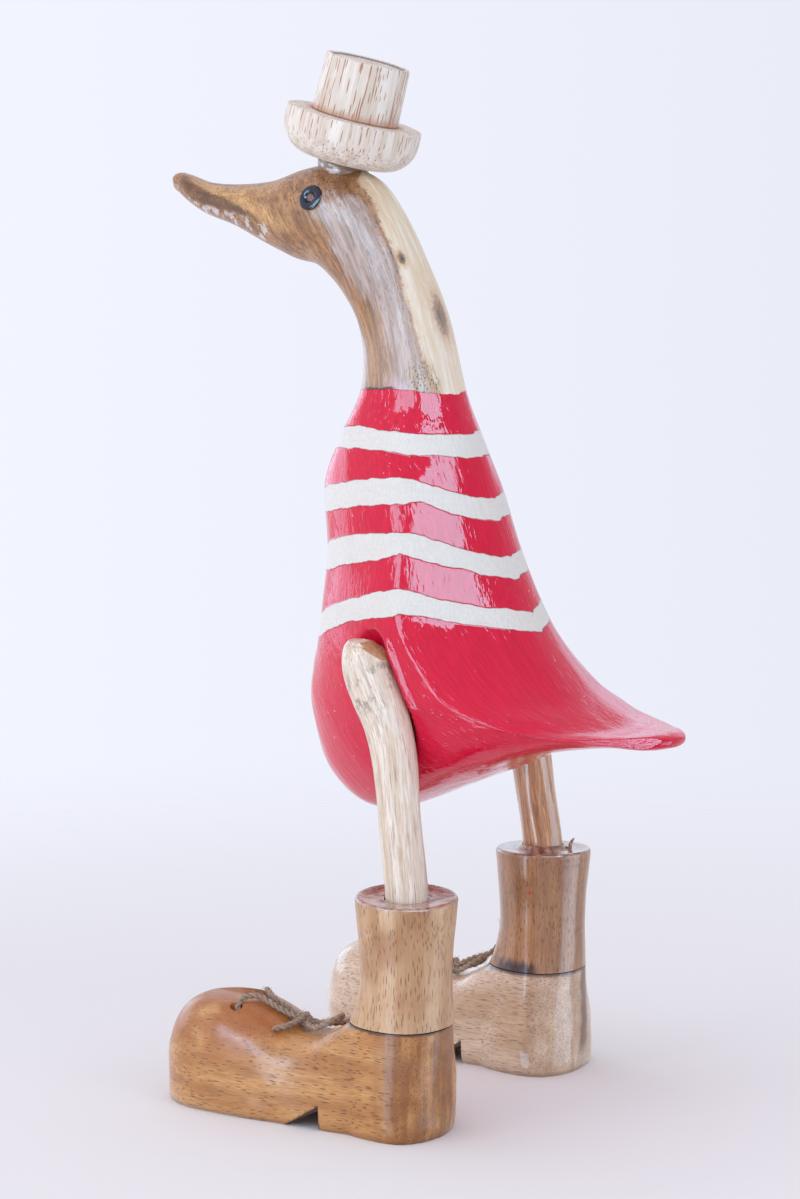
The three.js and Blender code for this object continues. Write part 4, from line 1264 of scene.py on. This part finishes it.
def footFinish(name):
    look = footLooks[name]

    def joined(pot, grain, wood, height, rough, coat):
        high, ahead = pot.mark("high"), pot.mark("ahead")
        wander = (pot.cloud(grain, 5.0, 3) - 0.5) * look["jointWander"]
        line = (high + wander).rise(boot["joint"] - look["joint"], boot["joint"] - 0.15) * ahead.rise(40, 30)
        heel = ahead.rise(6, -6) * look["heel"] * pot.drawn(grain, (0.2, 0.02, 0.2)).rise(0.35, 0.6)
        sole = (high + wander * 0.5).rise(2.6, 0.4)
        if name == "left":  # browner on top of the toe
            own = high.rise(20, 31) * ahead.rise(42, 60) * pot.cloud(grain, 14.0, 3).rise(0.32, 0.5)
        else:  # a dark streak down the heel
            lean = pot.part(grain, 0) + high * 0.14 + (pot.cloud(grain, 9.0, 3) - 0.5) * 4.0
            own = lean.rise(-5.0, -1.5) * lean.rise(3.5, 1.0) * pot.part(grain, 2).rise(9, 13)
            own = own * high.rise(4, 12)
        cut = pot.mark("cut")  # the notch's own faces stay bare and worn, and are painted dark as shade in the notch
        wood = pot.layers(wood, {**bootMarks, **look}, [
            (line * 0.9, "jointLine"),
            # painted shade in the lace holes
            (pot.mark("rim").rise(2.9, 1.7) * 0.85, "holeShade"),
            (heel, "heelColour"),
            (sole * 0.5, "sole"),
            (own * 0.75, "ripe" if name == "left" else "streak"),
            (cut * 0.9, "notch"),
        ])
        coat = coat * (1 - cut) * (0.6 + ahead.rise(18, 36) * 0.4)
        return wood, height, rough * (1 - cut) + 0.8 * cut, coat

    return woodFinish(name + "FootWood", look, joined)


eyes = carveDuck()
print("duck carved")
makeEyes(eyes)
makeHat()
makeGlue()
print("hat and eyes made")

laceFinish = twinePot()
for name, side in sides.items():
    makeLeg(name, side)
    makeShaft(name, side)
    foot = footMesh(side)
    laid = layRoutes(foot, side)
    rim = pressHoles(foot, laid)
    markFoot(foot, side, rim)
    piece(name + "Foot", foot, footFinish(name), [f"boot_foot_{name}"], 40)
    makeLace(name, side, laid, laceFinish)
    print(name, "leg and boot made")


# Floor, light and camera
table = {"half": 4, "colour": rgb(234, 232, 231), "fadeFrom": 0.22, "fadeTo": 0.85}


def makeFloor():
    h = table["half"]
    mesh = bpy.data.meshes.new("floor")
    mesh.from_pydata([(-h, -h, 0), (h, -h, 0), (h, h, 0), (-h, h, 0)], [], [[0, 1, 2, 3]])
    floor = newObject("floor", mesh)
    pot = Pot("paleTable")
    away = pot.vector("LENGTH", pot.node("ShaderNodeTexCoord", None, None, "Object"))
    fading = {"Alpha": away.rise(table["fadeTo"], table["fadeFrom"]), "Specular IOR Level": 0.0}
    mesh.materials.append(pot.finish(table["colour"], 0.6, sockets=fading))
    floor.visible_glossy = False


studio = {  # the boxes are what the varnish mirrors, the fills only light
    "leftHighBox": {"azimuth": 78, "elevation": 25, "distance": 1.3, "size": (0.92, 0.42), "bright": 11.0},
    "leftLowBox": {"azimuth": 83, "elevation": -10, "distance": 1.3, "size": (0.5, 1.0), "bright": 9.0},
    "rightHighBox": {"azimuth": 145, "elevation": 30, "distance": 1.3, "size": (1.16, 0.52), "bright": 15.5},
    "rightLowBox": {"azimuth": 198, "elevation": -8, "distance": 1.3, "size": (1.05, 0.9), "bright": 4.6},
    "farLeftBox": {"azimuth": 350, "elevation": 8, "distance": 1.4, "size": (1.2, 0.5), "bright": 2.2},
    "farRightBox": {"azimuth": 282, "elevation": 16, "distance": 1.4, "size": (0.8, 0.5), "bright": 0.8},
    "leftFill": {"azimuth": 66, "elevation": 20, "distance": 1.3, "size": (0.6, 0.8), "bright": 1.3},
    "rightFill": {"azimuth": 170, "elevation": 24, "distance": 1.3, "size": (0.6, 0.8), "bright": 1.15},
}
boxColour = rgb(188, 222, 255)
fillColour = rgb(255, 252, 255)
room = {
    "colour": rgb(240, 242, 254),
    "level": 1.05,
    "back": (-0.84, -0.54, 0), "backFall": 0.065,  # a little darker behind the figure
    "right": (-0.54, 0.84, 0), "rightFall": 0.29,
}
camera = {
    "at": (918.2, 561.7, 312.0),
    "azimuth": 123,
    "elevation": 6.2,
    "focalPixels": 2830,
    "heightPixels": 1199,
    "sensor": 36,
}


def toward(azimuth, elevation):  # a direction: 0 is the duck's front, 90 its left
    a, e = math.radians(azimuth), math.radians(elevation)
    return Vector((math.sin(a) * math.cos(e), -math.cos(a) * math.cos(e), math.sin(e)))


def aimed(name, data, at, back):  # a lamp or a camera with its back to a direction
    holder = newObject(name, data)
    holder.location = at
    holder.rotation_mode = "QUATERNION"
    holder.rotation_quaternion = back.to_track_quat("Z", "Y")
    return holder


def softbox(name, look):
    fill = name.endswith("Fill")
    lamp = bpy.data.lights.new(name, "AREA")
    lamp.shape = "RECTANGLE"
    lamp.size, lamp.size_y = look["size"]
    lamp.energy = look["bright"] * math.pi * lamp.size * lamp.size_y
    lamp.color = fillColour if fill else boxColour
    back = toward(look["azimuth"], look["elevation"])
    holder = aimed(name, lamp, Vector((0, 0, 0.2)) + back * look["distance"], back)
    holder.visible_camera = False
    holder.visible_diffuse = fill
    holder.visible_glossy = not fill


def makeLight():
    world = bpy.data.worlds.new("whiteRoom")
    bpy.context.scene.world = world
    pot = Pot("whiteRoom", world)
    way = pot.node("ShaderNodeTexCoord", None, None, "Generated")
    level = room["level"] - pot.vector("DOT_PRODUCT", way, room["back"]).rise(0.55, 0.93) * room["backFall"]
    level = level * (1 - pot.vector("DOT_PRODUCT", way, room["right"]) * room["rightFall"])
    sky = pot.node("ShaderNodeBackground", None, {0: pot.colour(room["colour"]), 1: level})
    pot.node("ShaderNodeOutputWorld", None, {0: sky})
    for name, look in studio.items():
        softbox(name, look)


def makeCamera():
    view = bpy.data.cameras.new("camera")
    view.sensor_width = camera["sensor"]
    view.lens = camera["focalPixels"] / camera["heightPixels"] * camera["sensor"]
    view.clip_start, view.clip_end = 0.05, 30
    back = toward(camera["azimuth"], camera["elevation"])
    bpy.context.scene.camera = aimed("camera", view, Vector(metres(camera["at"])), back)


makeFloor()
makeLight()
makeCamera()
bpy.context.scene.view_settings.view_transform = "Standard"
bpy.context.scene.view_settings.look = "None"
print("floor, light and camera placed")
